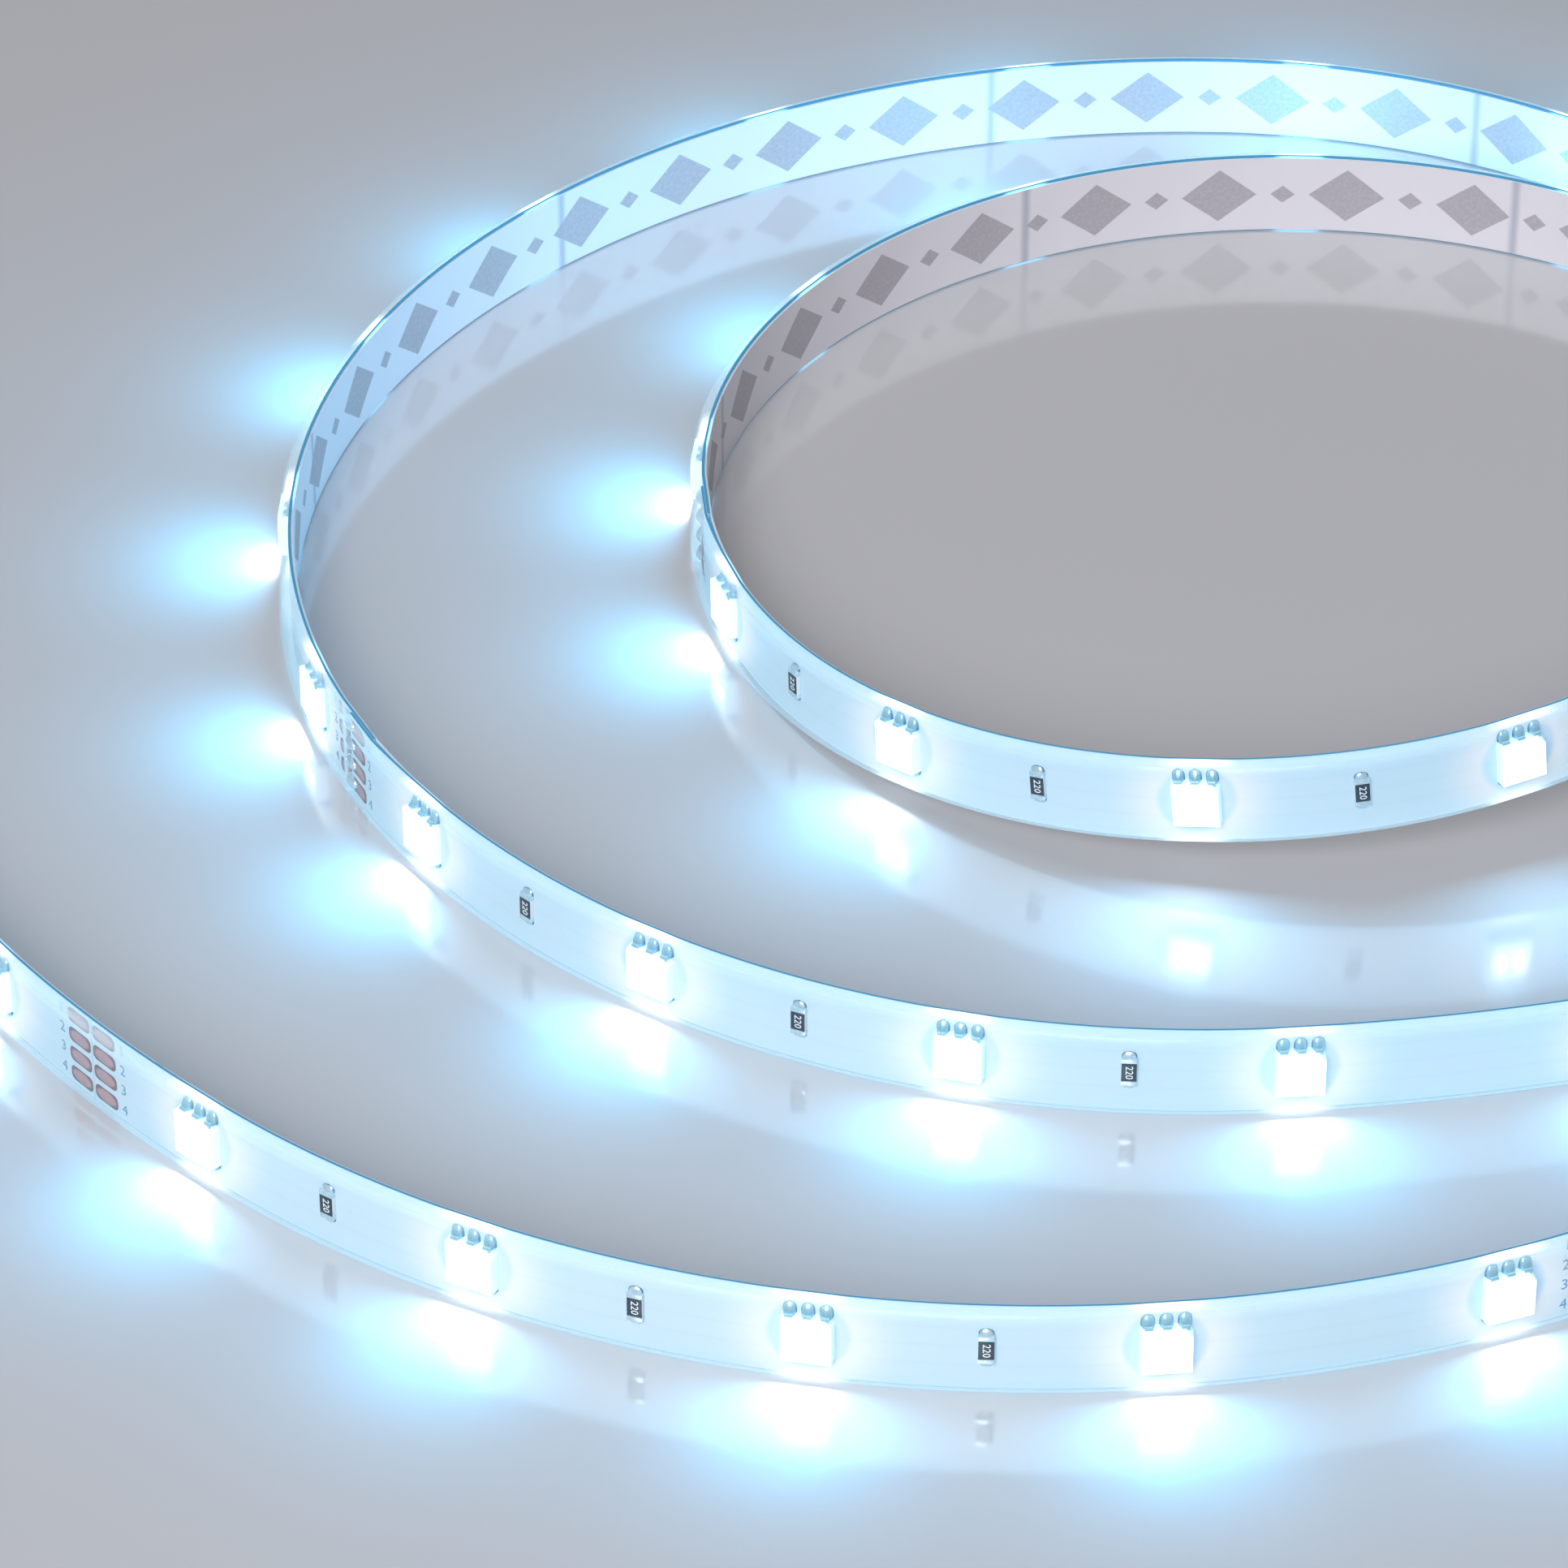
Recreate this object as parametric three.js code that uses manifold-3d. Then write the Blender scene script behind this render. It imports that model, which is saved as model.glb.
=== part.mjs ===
// Loose coil of flexible LED strip, standing on its lower edge.
// Millimetres, +Z up. The strip is laid from its outer end inward, turning left, with its LEDs facing out.

import * as THREE from 'three';
import { mergeVertices } from 'three/addons/utils/BufferGeometryUtils.js';
import Module from 'manifold-3d';

const wasm = await Module();
wasm.setup();

// Strip layout: boards are soldered end over end, and each is a row of equal units
const LEDS_PER_METRE = 30;
const LEDS_PER_UNIT = 5;
const RESISTORS_PER_UNIT = 3;
const UNITS_PER_BOARD = [2, 3, 3, 1];
const LED_PITCH = 1000 / LEDS_PER_METRE;
const UNIT_LENGTH = LED_PITCH * LEDS_PER_UNIT;
const SPLICE_LAP = 5.5;
const SPLICE_APPROACH = 2.5;
const SPLICE_RAMP = 8;

// Strip section, from the back outward
const LINER_THICKNESS = 0.1;
const TAPE_THICKNESS = 0.15;
const BOARD_THICKNESS = 0.3;
const BOARD_WIDTH = 10;
const TAPE_MARGIN = 0.2;
const BOARD_BACK = LINER_THICKNESS + TAPE_THICKNESS;
const BOARD_FRONT = BOARD_BACK + BOARD_THICKNESS;

// LED package
const LED_SIZE = 5;
const LED_HEIGHT = 1.5;
const LED_CORNER = 0.7;
const LED_WINDOW_RADIUS = 2.05;
const LED_WINDOW_DEPTH = 0.12;
const LED_WINDOW_SIDES = 12;
const LED_SEAT_LENGTH = 5.8;
const SOLDER_FILM = 0.02;

// Clear silicone run over the boards, level with the LEDs and rounded down to the board's edges
const COAT_HEIGHT = SOLDER_FILM + LED_HEIGHT;
const COAT_SHOULDER = 1.3;
const COAT_SHOULDER_STEPS = 2;

// Chip resistor, lying across the strip between two LEDs
const RESISTOR_LENGTH = 3.2;
const RESISTOR_WIDTH = 1.6;
const RESISTOR_HEIGHT = 0.55;
const RESISTOR_CAP_LENGTH = 0.5;
const RESISTOR_CAP_RISE = 0.07;
const RESISTOR_FILLET_LENGTH = 0.8;
const RESISTOR_FILLET_EDGE = 0.05;
const PARTS_ROOT = 0.1;

// Solder mounds over the end of the upper board of a splice
const MOUND_COUNT = 4;
const MOUND_PITCH = 2.2;
const MOUND_RADII = new THREE.Vector3(1.3, 0.75, 0.85);
const MOUND_SIDES = 10;
const MOUND_RINGS = 6;

// Coil in plan: tangent arcs from the outer end inward, each a radius and a turn in degrees
const COIL_HEADING = -103.2;
const COIL_ARCS = [
  [175.5, 61],
  [115.5, 48],
  [121, 141],
  [74, 31],
  [103, 57],
  [94, 130],
  [195, 16],
  [57, 52],
  [95.5, 78],
  [67, 143],
  [60.5, 151],
];

// Past the last splice the strip climbs off the floor: a parabola, then a straight slope
const CLIMB_EASE = 70;
const CLIMB_SLOPE = 0.095;

const FACET_LENGTH = 9;

// Boards: where each starts and ends along the coil
const boards = [];
for (const units of UNITS_PER_BOARD) {
  const last = boards.at(-1);
  const start = last ? last.end - SPLICE_LAP : 0;
  boards.push({ units, start, end: start + units * UNIT_LENGTH, lapsBoardBefore: Boolean(last) });
}
const stripLength = boards.at(-1).end;
const climbStart = boards.at(-1).start;

function climbAt(s) {
  const run = Math.max(0, s - climbStart);
  if (run < CLIMB_EASE) return (CLIMB_SLOPE * run * run) / (2 * CLIMB_EASE);
  return CLIMB_SLOPE * (run - CLIMB_EASE / 2);
}

// Point and outward normal on the coil's arcs at a length s from the outer end
function coilAt(s) {
  const point = new THREE.Vector2();
  let heading = THREE.MathUtils.degToRad(COIL_HEADING);
  let left = s;
  for (const [radius, degrees] of COIL_ARCS) {
    const sweep = THREE.MathUtils.degToRad(degrees);
    const turn = Math.min(left / radius, sweep);
    point.x += radius * (Math.sin(heading + turn) - Math.sin(heading));
    point.y -= radius * (Math.cos(heading + turn) - Math.cos(heading));
    heading += turn;
    left -= radius * turn;
    if (turn < sweep) break;
  }
  const normal = new THREE.Vector2(Math.sin(heading), -Math.cos(heading));
  return { point, normal, climb: climbAt(s) };
}

// Seats: stretches that lie flat under an LED, a resistor or a splice
const ledCentres = [];
const resistorCentres = [];
const spliceStarts = [];
for (const board of boards) {
  board.leds = [];
  board.resistors = [];
  for (let i = 0; i < board.units * LEDS_PER_UNIT; i += 1) {
    const centre = board.start + (i + 0.5) * LED_PITCH;
    board.leds.push(centre);
    if (i % LEDS_PER_UNIT < RESISTORS_PER_UNIT) board.resistors.push(centre + LED_PITCH / 2);
  }
  ledCentres.push(...board.leds);
  resistorCentres.push(...board.resistors);
  if (board.lapsBoardBefore) spliceStarts.push(board.start);
}

const flats = ledCentres.map((s) => [s - LED_SEAT_LENGTH / 2, s + LED_SEAT_LENGTH / 2]);
for (const s of spliceStarts) flats.push([s - SPLICE_APPROACH, s + SPLICE_LAP]);
flats.sort((a, b) => a[0] - b[0]);

// Stations on the arcs: both ends of every flat, and even steps between flats
const stations = [0];
for (const [from, to] of [...flats, [stripLength]]) {
  const before = stations.at(-1);
  const steps = Math.max(1, Math.round((from - before) / FACET_LENGTH));
  for (let i = 1; i <= steps; i += 1) stations.push(before + ((from - before) * i) / steps);
  if (to) stations.push(to);
}
const stationLines = stations.map(coilAt);

// Between two stations the strip is one flat facet
function lineAt(s) {
  const next = Math.max(1, stations.findIndex((station) => station >= s));
  const [from, to] = [stations[next - 1], stations[next]];
  const [a, b] = [stationLines[next - 1], stationLines[next]];
  const t = (s - from) / (to - from);
  return {
    point: a.point.clone().lerp(b.point, t),
    normal: a.normal.clone().lerp(b.normal, t),
    climb: THREE.MathUtils.lerp(a.climb, b.climb, t),
  };
}

function pointAt(s, offset, height) {
  const { point, normal, climb } = lineAt(s);
  return new THREE.Vector3(point.x + normal.x * offset, point.y + normal.y * offset, height + climb);
}

// Frame on the strip's face: X along the strip, Y across it, Z outward
function seatAt(s, reach, offset) {
  const a = pointAt(s - reach, offset, BOARD_WIDTH / 2);
  const b = pointAt(s + reach, offset, BOARD_WIDTH / 2);
  const along = b.clone().sub(a).normalize();
  const outward = new THREE.Vector3(along.y, -along.x, 0).normalize();
  const across = new THREE.Vector3().crossVectors(outward, along);
  const seat = new THREE.Matrix4().makeBasis(along, across, outward);
  return seat.setPosition(a.lerp(b, 0.5));
}

function stopsBetween(from, to) {
  return [from, ...stations.filter((s) => s > from && s < to), to];
}

// A ribbon is a box with one segment per station, bent along the coil
function ribbon(from, to, back, thickness, margin) {
  const stops = stopsBetween(from, to);
  const segments = stops.length - 1;
  const geometry = new THREE.BoxGeometry(1, 1, 1, segments, 1, 1);
  const position = geometry.attributes.position;
  for (let i = 0; i < position.count; i += 1) {
    const s = stops[Math.round((position.getX(i) + 0.5) * segments)];
    const offset = back(s) + (position.getZ(i) > 0 ? thickness : 0);
    const height = position.getY(i) > 0 ? BOARD_WIDTH - margin : margin;
    const { x, y, z } = pointAt(s, offset, height);
    position.setXYZ(i, x, y, z);
  }
  return geometry;
}

// A lapping board lies on the one before it, then comes down to the tape
function boardBack(board, s) {
  if (!board.lapsBoardBefore) return BOARD_BACK;
  const past = Math.max(0, s - board.start - SPLICE_LAP);
  return BOARD_BACK + BOARD_THICKNESS * Math.max(0, 1 - past / SPLICE_RAMP);
}

function toSolid(geometry) {
  const bare = geometry.clone();
  bare.deleteAttribute('normal');
  bare.deleteAttribute('uv');
  const closed = mergeVertices(bare);
  const vertProperties = new Float32Array(closed.attributes.position.array);
  const triVerts = new Uint32Array(closed.index.array);
  return new wasm.Manifold(new wasm.Mesh({ numProp: 3, vertProperties, triVerts }));
}

function toGeometry(solid) {
  const { vertProperties, triVerts } = solid.getMesh();
  const geometry = new THREE.BufferGeometry();
  geometry.setAttribute('position', new THREE.BufferAttribute(new Float32Array(vertProperties), 3));
  geometry.setIndex(new THREE.BufferAttribute(new Uint32Array(triVerts), 1));
  geometry.computeVertexNormals();
  return geometry;
}

// Side view of a resistor with its end caps and solder, pushed out to its width
function resistorGeometry() {
  const end = RESISTOR_LENGTH / 2;
  const cap = end - RESISTOR_CAP_LENGTH;
  const foot = end + RESISTOR_FILLET_LENGTH;
  const capTop = RESISTOR_HEIGHT + RESISTOR_CAP_RISE;
  const half = [
    [foot, -PARTS_ROOT],
    [foot, RESISTOR_FILLET_EDGE],
    [end, RESISTOR_HEIGHT],
    [end - RESISTOR_CAP_RISE, capTop],
    [cap, capTop],
    [cap, RESISTOR_HEIGHT],
  ];
  const mirrored = half.map(([x, y]) => [-x, y]).reverse();
  const outline = [...half, ...mirrored].map(([x, y]) => new THREE.Vector2(x, y));
  const geometry = new THREE.ExtrudeGeometry(new THREE.Shape(outline), {
    depth: RESISTOR_WIDTH,
    bevelEnabled: false,
  });
  geometry.translate(0, 0, -RESISTOR_WIDTH / 2);
  const uprightAcross = new THREE.Matrix4().makeBasis(
    new THREE.Vector3(0, 1, 0),
    new THREE.Vector3(0, 0, 1),
    new THREE.Vector3(1, 0, 0),
  );
  return geometry.applyMatrix4(uprightAcross);
}

// Upper half of a flattened ball, its flat side over the lower board of the splice
function moundGeometry() {
  const quarter = Math.PI / 2;
  const profile = [new THREE.Vector2(0, 0)];
  for (let i = 0; i <= MOUND_RINGS / 2; i += 1) {
    const angle = (i * quarter) / (MOUND_RINGS / 2);
    profile.push(new THREE.Vector2(Math.cos(angle), Math.sin(angle)));
  }
  profile.at(-1).x = 0;
  const dome = new THREE.LatheGeometry(profile, MOUND_SIDES);
  dome.rotateX(quarter);
  return dome.scale(MOUND_RADII.x, MOUND_RADII.y, MOUND_RADII.z);
}

function resistorSolids(board) {
  return board.resistors.map((s) => {
    const seat = seatAt(s, RESISTOR_WIDTH / 2, BOARD_FRONT);
    return toSolid(resistorGeometry().applyMatrix4(seat));
  });
}

function moundSolids(board) {
  if (!board?.lapsBoardBefore) return [];
  const seat = seatAt(board.start, SPLICE_APPROACH, BOARD_FRONT + SOLDER_FILM);
  const rows = Array.from({ length: MOUND_COUNT }, (_, i) => (i - (MOUND_COUNT - 1) / 2) * MOUND_PITCH);
  return rows.map((across) => toSolid(moundGeometry().translate(0, across, 0).applyMatrix4(seat)));
}

function boardGeometry(board) {
  const back = (s) => boardBack(board, s);
  let solid = toSolid(ribbon(board.start, board.end, back, BOARD_THICKNESS, 0));
  for (const part of [...resistorSolids(board), ...moundSolids(board)]) solid = solid.add(part);
  return toGeometry(solid);
}

function ledSeat(s) {
  return seatAt(s, LED_SEAT_LENGTH / 2, BOARD_FRONT + SOLDER_FILM);
}

// Square plan with one cut corner, raised from the LED's seat
function ledPrism(depth) {
  const half = LED_SIZE / 2;
  const plan = new THREE.Shape([
    new THREE.Vector2(-half, -half),
    new THREE.Vector2(half, -half),
    new THREE.Vector2(half, half - LED_CORNER),
    new THREE.Vector2(half - LED_CORNER, half),
    new THREE.Vector2(-half, half),
  ]);
  return new THREE.ExtrudeGeometry(plan, { depth, bevelEnabled: false });
}

// Half of the coat's section, as height from the board's edge and share of the coat's depth
function coatShoulder() {
  const shoulder = [];
  for (let i = 0; i <= COAT_SHOULDER_STEPS; i += 1) {
    const angle = (i / COAT_SHOULDER_STEPS) * (Math.PI / 2);
    shoulder.push([COAT_SHOULDER * (1 - Math.cos(angle)), Math.sin(angle)]);
  }
  return shoulder;
}

// The coat's section carried along the board, one ring of points at each station
function coatRibbon(board, end) {
  const lower = coatShoulder();
  const upper = lower.map(([height, share]) => [BOARD_WIDTH - height, share]).reverse();
  const section = [...lower, ...upper];
  const stops = stopsBetween(board.start, end);
  const positions = [];
  for (const s of stops) {
    const front = boardBack(board, s) + BOARD_THICKNESS;
    const depth = BOARD_FRONT + COAT_HEIGHT - front;
    for (const [height, share] of section) positions.push(...pointAt(s, front + depth * share, height));
  }
  const ring = section.length;
  const last = (stops.length - 1) * ring;
  const triangles = [];
  for (let a = 0; a < last; a += 1) {
    const b = a - (a % ring) + ((a + 1) % ring);
    triangles.push(a, a + ring, b, b, a + ring, b + ring);
  }
  for (let i = 1; i < ring - 1; i += 1) triangles.push(0, i, i + 1, last, last + i + 1, last + i);
  const geometry = new THREE.BufferGeometry();
  geometry.setAttribute('position', new THREE.Float32BufferAttribute(positions, 3));
  geometry.setIndex(triangles);
  return geometry;
}

// A coat ends where the next board begins; LEDs stand through it, resistors and solder are sunk in it
function coatGeometry(board, next) {
  let solid = toSolid(coatRibbon(board, next ? next.start : board.end));
  const sunk = [...resistorSolids(board), ...moundSolids(board), ...moundSolids(next)];
  const hole = ledPrism(COAT_HEIGHT + 2 * PARTS_ROOT).translate(0, 0, -SOLDER_FILM - PARTS_ROOT);
  const holes = board.leds.map((s) => toSolid(hole.clone().applyMatrix4(ledSeat(s))));
  for (const part of [...sunk, ...holes]) solid = solid.subtract(part);
  return toGeometry(solid);
}

// Housing with a shallow round window
function ledGeometry() {
  const body = ledPrism(LED_HEIGHT);
  const window = new THREE.CylinderGeometry(
    LED_WINDOW_RADIUS,
    LED_WINDOW_RADIUS,
    LED_WINDOW_DEPTH * 2,
    LED_WINDOW_SIDES,
  );
  window.rotateX(Math.PI / 2);
  window.translate(0, 0, LED_HEIGHT);
  return toGeometry(toSolid(body).subtract(toSolid(window)));
}

function whiteMask() {
  return new THREE.MeshStandardMaterial({ color: 0xe9eff2, roughness: 0.4, metalness: 0 });
}

function clearSilicone() {
  return new THREE.MeshStandardMaterial({
    color: 0xdff1fa,
    roughness: 0.15,
    metalness: 0,
    transparent: true,
    opacity: 0.35,
  });
}

function tapeAcrylic() {
  return new THREE.MeshStandardMaterial({ color: 0xdadfe2, roughness: 0.6, metalness: 0 });
}

function linerPaper() {
  return new THREE.MeshStandardMaterial({ color: 0xcfccd4, roughness: 0.75, metalness: 0 });
}

function litPackage() {
  return new THREE.MeshStandardMaterial({
    color: 0xf4fbff,
    roughness: 0.3,
    metalness: 0,
    emissive: 0xcdeeff,
    emissiveIntensity: 0.6,
  });
}

const strip = new THREE.Group();

function addPiece(name, geometry, material) {
  const mesh = new THREE.Mesh(geometry, material);
  mesh.name = name;
  strip.add(mesh);
  return mesh;
}

addPiece('release_liner', ribbon(0, stripLength, () => 0, LINER_THICKNESS, TAPE_MARGIN), linerPaper());
addPiece(
  'adhesive_tape',
  ribbon(0, stripLength, () => LINER_THICKNESS, TAPE_THICKNESS, TAPE_MARGIN),
  tapeAcrylic(),
);
boards.forEach((board, i) => {
  addPiece(`flex_board_${i + 1}`, boardGeometry(board), whiteMask());
  addPiece(`silicone_coat_${i + 1}`, coatGeometry(board, boards[i + 1]), clearSilicone());
});

const led = ledGeometry();
ledCentres.forEach((s, i) => {
  const mesh = addPiece(`led_${String(i + 1).padStart(2, '0')}`, led, litPackage());
  ledSeat(s).decompose(mesh.position, mesh.quaternion, mesh.scale);
});

// The origin is under the middle of the coil's bounding box
const middle = new THREE.Box3().setFromObject(strip).getCenter(new THREE.Vector3());
strip.position.set(-middle.x, -middle.y, 0);

export default strip;
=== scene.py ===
import math
from functools import partial

import bmesh
import bpy
from mathutils import Matrix, Vector


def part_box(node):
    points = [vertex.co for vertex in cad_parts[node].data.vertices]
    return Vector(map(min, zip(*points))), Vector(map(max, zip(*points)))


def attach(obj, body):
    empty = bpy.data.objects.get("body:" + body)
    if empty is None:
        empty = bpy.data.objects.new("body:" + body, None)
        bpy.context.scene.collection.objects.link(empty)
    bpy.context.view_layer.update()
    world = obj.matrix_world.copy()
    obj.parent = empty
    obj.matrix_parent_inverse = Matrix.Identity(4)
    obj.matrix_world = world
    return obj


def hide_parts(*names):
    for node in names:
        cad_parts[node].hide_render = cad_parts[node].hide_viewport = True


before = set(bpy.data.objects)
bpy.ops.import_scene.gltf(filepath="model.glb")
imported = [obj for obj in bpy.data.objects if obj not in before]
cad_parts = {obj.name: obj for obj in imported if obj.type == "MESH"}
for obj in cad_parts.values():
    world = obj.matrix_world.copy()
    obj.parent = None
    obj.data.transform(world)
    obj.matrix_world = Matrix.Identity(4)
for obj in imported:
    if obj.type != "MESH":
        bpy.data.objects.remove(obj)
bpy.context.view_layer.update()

bl_info = {
    "name": "LED strip coil",
    "version": (1, 0, 0),
    "blender": (4, 5, 0),
    "location": "View3D > Sidebar > Strip coil",
    "description": "A loose coil of lit LED strip, dressed over its CAD frame",
    "category": "Object",
}

MM = 0.001

# Strip layout, the same values as the CAD: boards soldered end over end, each a row of equal units
LEDS_PER_METRE = 30
LEDS_PER_UNIT = 5
RESISTORS_PER_UNIT = 3
UNITS_PER_BOARD = (2, 3, 3, 1)
LED_PITCH = 1 / LEDS_PER_METRE
UNIT_LENGTH = LED_PITCH * LEDS_PER_UNIT
SPLICE_LAP = 5.5 * MM
SPLICE_APPROACH = 2.5 * MM
SPLICE_RAMP = 8 * MM
LED_SEAT_LENGTH = 5.8 * MM
SOLDER_FILM = 0.02 * MM
LINER_THICKNESS = 0.1 * MM
TAPE_THICKNESS = 0.15 * MM
BOARD_THICKNESS = 0.3 * MM
BOARD_WIDTH = 10 * MM
TAPE_MARGIN = 0.2 * MM
BOARD_BACK = LINER_THICKNESS + TAPE_THICKNESS
BOARD_FRONT = BOARD_BACK + BOARD_THICKNESS
LED_SIZE = 5 * MM
LED_HEIGHT = 1.5 * MM
LED_CORNER = 0.7 * MM
COAT_HEIGHT = SOLDER_FILM + LED_HEIGHT
COAT_SHOULDER = 1.3 * MM

# Coil in plan, the same arcs as the CAD: radius in millimetres and turn in degrees
COIL_HEADING = -103.2
COIL_ARCS = (
    (175.5, 61), (115.5, 48), (121, 141), (74, 31), (103, 57), (94, 130),
    (195, 16), (57, 52), (95.5, 78), (67, 143), (60.5, 151),
)
CLIMB_EASE = 70 * MM
CLIMB_SLOPE = 0.095
PATH_STEP = 1.5 * MM

# Light on the board, in millimetres from an LED's centre, and of the low lamps
RING_START, RING_END = 3.6, 4.4
HALO_START, HALO_END = 4.0, 11.5
TINT_REACH = 2.6
GLINT_START, GLINT_END = 1.6, 3.4
SPILL_COLOUR = (1.0, 0.85, 0.80)

# Print and folds of the release paper, in millimetres: shift along it, half length and half width
PRINT_PITCH = 15.0
LOZENGES = ((0.0, 4.5, 3.5), (PRINT_PITCH / 2, 1.5, 1.2))
FOLD_PITCH = 59.0

TOUCHING = 1e-8
WELD_DISTANCE = 1e-7
CREASE_ANGLE = math.radians(30)
SMOOTH_ANGLE = math.radians(38)
NUMERAL_SHIFT = 1.1 * MM
PRINT_THICKNESS = 0.03 * MM
CAPITAL_SHARE = 0.72
FLOOR_RADIUS = 1.6
FLOOR_DROP = 0.02 * MM
FLOOR_SHIFT = 0.3


def linear(hex_colour):
    """sRGB hex to linear RGB."""
    channels = (int(hex_colour[i:i + 2], 16) / 255 for i in (1, 3, 5))
    return tuple(c / 12.92 if c <= 0.04045 else ((c + 0.055) / 1.055) ** 2.4 for c in channels)


def lay_out_boards():
    """Boards with where each starts and ends along the coil."""
    boards = []
    for units in UNITS_PER_BOARD:
        start = boards[-1]["end"] - SPLICE_LAP if boards else 0.0
        end = start + units * UNIT_LENGTH
        boards.append({"units": units, "start": start, "end": end, "laps": bool(boards)})
    return boards


BOARDS = lay_out_boards()
STRIP_LENGTH = BOARDS[-1]["end"]
LED_CENTRES = [
    board["start"] + (i + 0.5) * LED_PITCH
    for board in BOARDS
    for i in range(board["units"] * LEDS_PER_UNIT)
]
RESISTOR_CENTRES = [
    board["start"] + (i + 1) * LED_PITCH
    for board in BOARDS
    for i in range(board["units"] * LEDS_PER_UNIT)
    if i % LEDS_PER_UNIT < RESISTORS_PER_UNIT
]
SPLICES = [board["start"] for board in BOARDS if board["laps"]]
CUT_LINES = [
    board["start"] + unit * UNIT_LENGTH
    for board in BOARDS
    for unit in range(1, board["units"])
]
FLATS = sorted(
    [(s - LED_SEAT_LENGTH / 2, s + LED_SEAT_LENGTH / 2) for s in LED_CENTRES]
    + [(s - SPLICE_APPROACH, s + SPLICE_LAP) for s in SPLICES]
)


def climb_at(s):
    """How far the strip's lower edge has climbed off the floor."""
    run = max(0.0, s - BOARDS[-1]["start"])
    if run < CLIMB_EASE:
        return CLIMB_SLOPE * run * run / (2 * CLIMB_EASE)
    return CLIMB_SLOPE * (run - CLIMB_EASE / 2)


def arc_at(s):
    """Point and outward normal in plan, on the coil's arcs."""
    x = y = 0.0
    heading = math.radians(COIL_HEADING)
    left = s
    for radius_mm, degrees in COIL_ARCS:
        radius = radius_mm * MM
        turn = min(left / radius, math.radians(degrees))
        x += radius * (math.sin(heading + turn) - math.sin(heading))
        y -= radius * (math.cos(heading + turn) - math.cos(heading))
        heading += turn
        left -= radius * turn
        if turn < math.radians(degrees):
            break
    return Vector((x, y, 0)), Vector((math.sin(heading), -math.cos(heading), 0))


def line_at(s):
    """Point, normal and climb at a length s: straight on the flats, on the arcs elsewhere."""
    for low, high in FLATS:
        if low <= s <= high:
            (a, normal_a), (b, normal_b) = arc_at(low), arc_at(high)
            t = (s - low) / (high - low)
            climb = climb_at(low) + (climb_at(high) - climb_at(low)) * t
            return a.lerp(b, t), normal_a.lerp(normal_b, t), climb
    point, normal = arc_at(s)
    return point, normal, climb_at(s)


def point_at(s, offset, height):
    point, normal, climb = line_at(s)
    return point + normal * offset + Vector((0, 0, height + climb))


def seat_at(s, reach, offset):
    """Frame on the strip's face: X along the strip, Y across it, Z outward."""
    a = point_at(s - reach, offset, BOARD_WIDTH / 2)
    b = point_at(s + reach, offset, BOARD_WIDTH / 2)
    along = (b - a).normalized()
    outward = Vector((along.y, -along.x, 0)).normalized()
    across = outward.cross(along)
    seat = Matrix((along, across, outward)).transposed().to_4x4()
    seat.translation = (a + b) / 2
    return seat


def plan_shift():
    """Where the strip's outer end lies in the frame, solved from the CAD's LED boxes."""
    half = LED_SIZE / 2
    cut = half - LED_CORNER
    outline = ((-half, -half), (half, -half), (half, cut), (cut, half), (-half, half))
    shift = Vector((0, 0, 0))
    for number, s in enumerate(LED_CENTRES, 1):
        seat = seat_at(s, LED_SEAT_LENGTH / 2, BOARD_FRONT + SOLDER_FILM)
        corners = [seat @ Vector((x, y, z)) for x, y in outline for z in (0, LED_HEIGHT)]
        low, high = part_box(f"led_{number:02d}")
        for axis in range(2):
            values = [corner[axis] for corner in corners]
            shift[axis] += (low[axis] + high[axis] - min(values) - max(values)) / 2
    return shift / len(LED_CENTRES)


PLAN_SHIFT = plan_shift()


def a_length(name, description, default):
    return bpy.props.FloatProperty(
        name=name, description=description, default=default, unit="LENGTH", precision=6)


def a_colour(name, description, default):
    return bpy.props.FloatVectorProperty(
        name=name, description=description, subtype="COLOR", default=default, min=0, max=1)


def a_power(name, description, default):
    return bpy.props.FloatProperty(
        name=name, description=description, default=default, unit="POWER", precision=5)


class StripSizes(bpy.types.PropertyGroup):
    """Sizes of the pieces on the strip."""

    board_edge: a_length("Board edge", "Radius along the board's cut edges", 0.05 * MM)
    window_radius: a_length("Window radius", "Radius of the LED's round window", 2.05 * MM)
    lead_pitch: a_length("Lead pitch", "Distance between the leads on one side of an LED", 1.75 * MM)
    leads_per_side: bpy.props.IntProperty(
        name="Leads a side", description="Leads on each long side of an LED", default=3)
    pad_rows: bpy.props.IntProperty(
        name="Pad rows", description="Solder pads one above the other at a cut line", default=4)
    pad_pitch: a_length("Pad pitch", "Distance between rows of solder pads", 2.4 * MM)
    pad_length: a_length("Pad length", "Length of a solder pad along the strip", 3.6 * MM)
    pad_width: a_length("Pad width", "Width of a solder pad across the strip", 1.75 * MM)
    pad_gap: a_length("Pad gap", "Gap between the two columns of pads at a cut line", 0.4 * MM)
    die_pitch: a_length("Die pitch", "Distance between the two lit dies in an LED", 2.0 * MM)
    die_radius: a_length("Die radius", "Radius of a lit die under its silicone", 0.4 * MM)
    coat_sink: a_length("Coat sink", "How far the coat's face lies below the LEDs' faces", 0.14 * MM)
    coat_foot: a_length("Coat foot", "How far the coat is let into the board's face", 0.03 * MM)
    numeral_height: a_length("Numeral height", "Height of the plain numbers beside the pads", 1.25 * MM)


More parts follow.
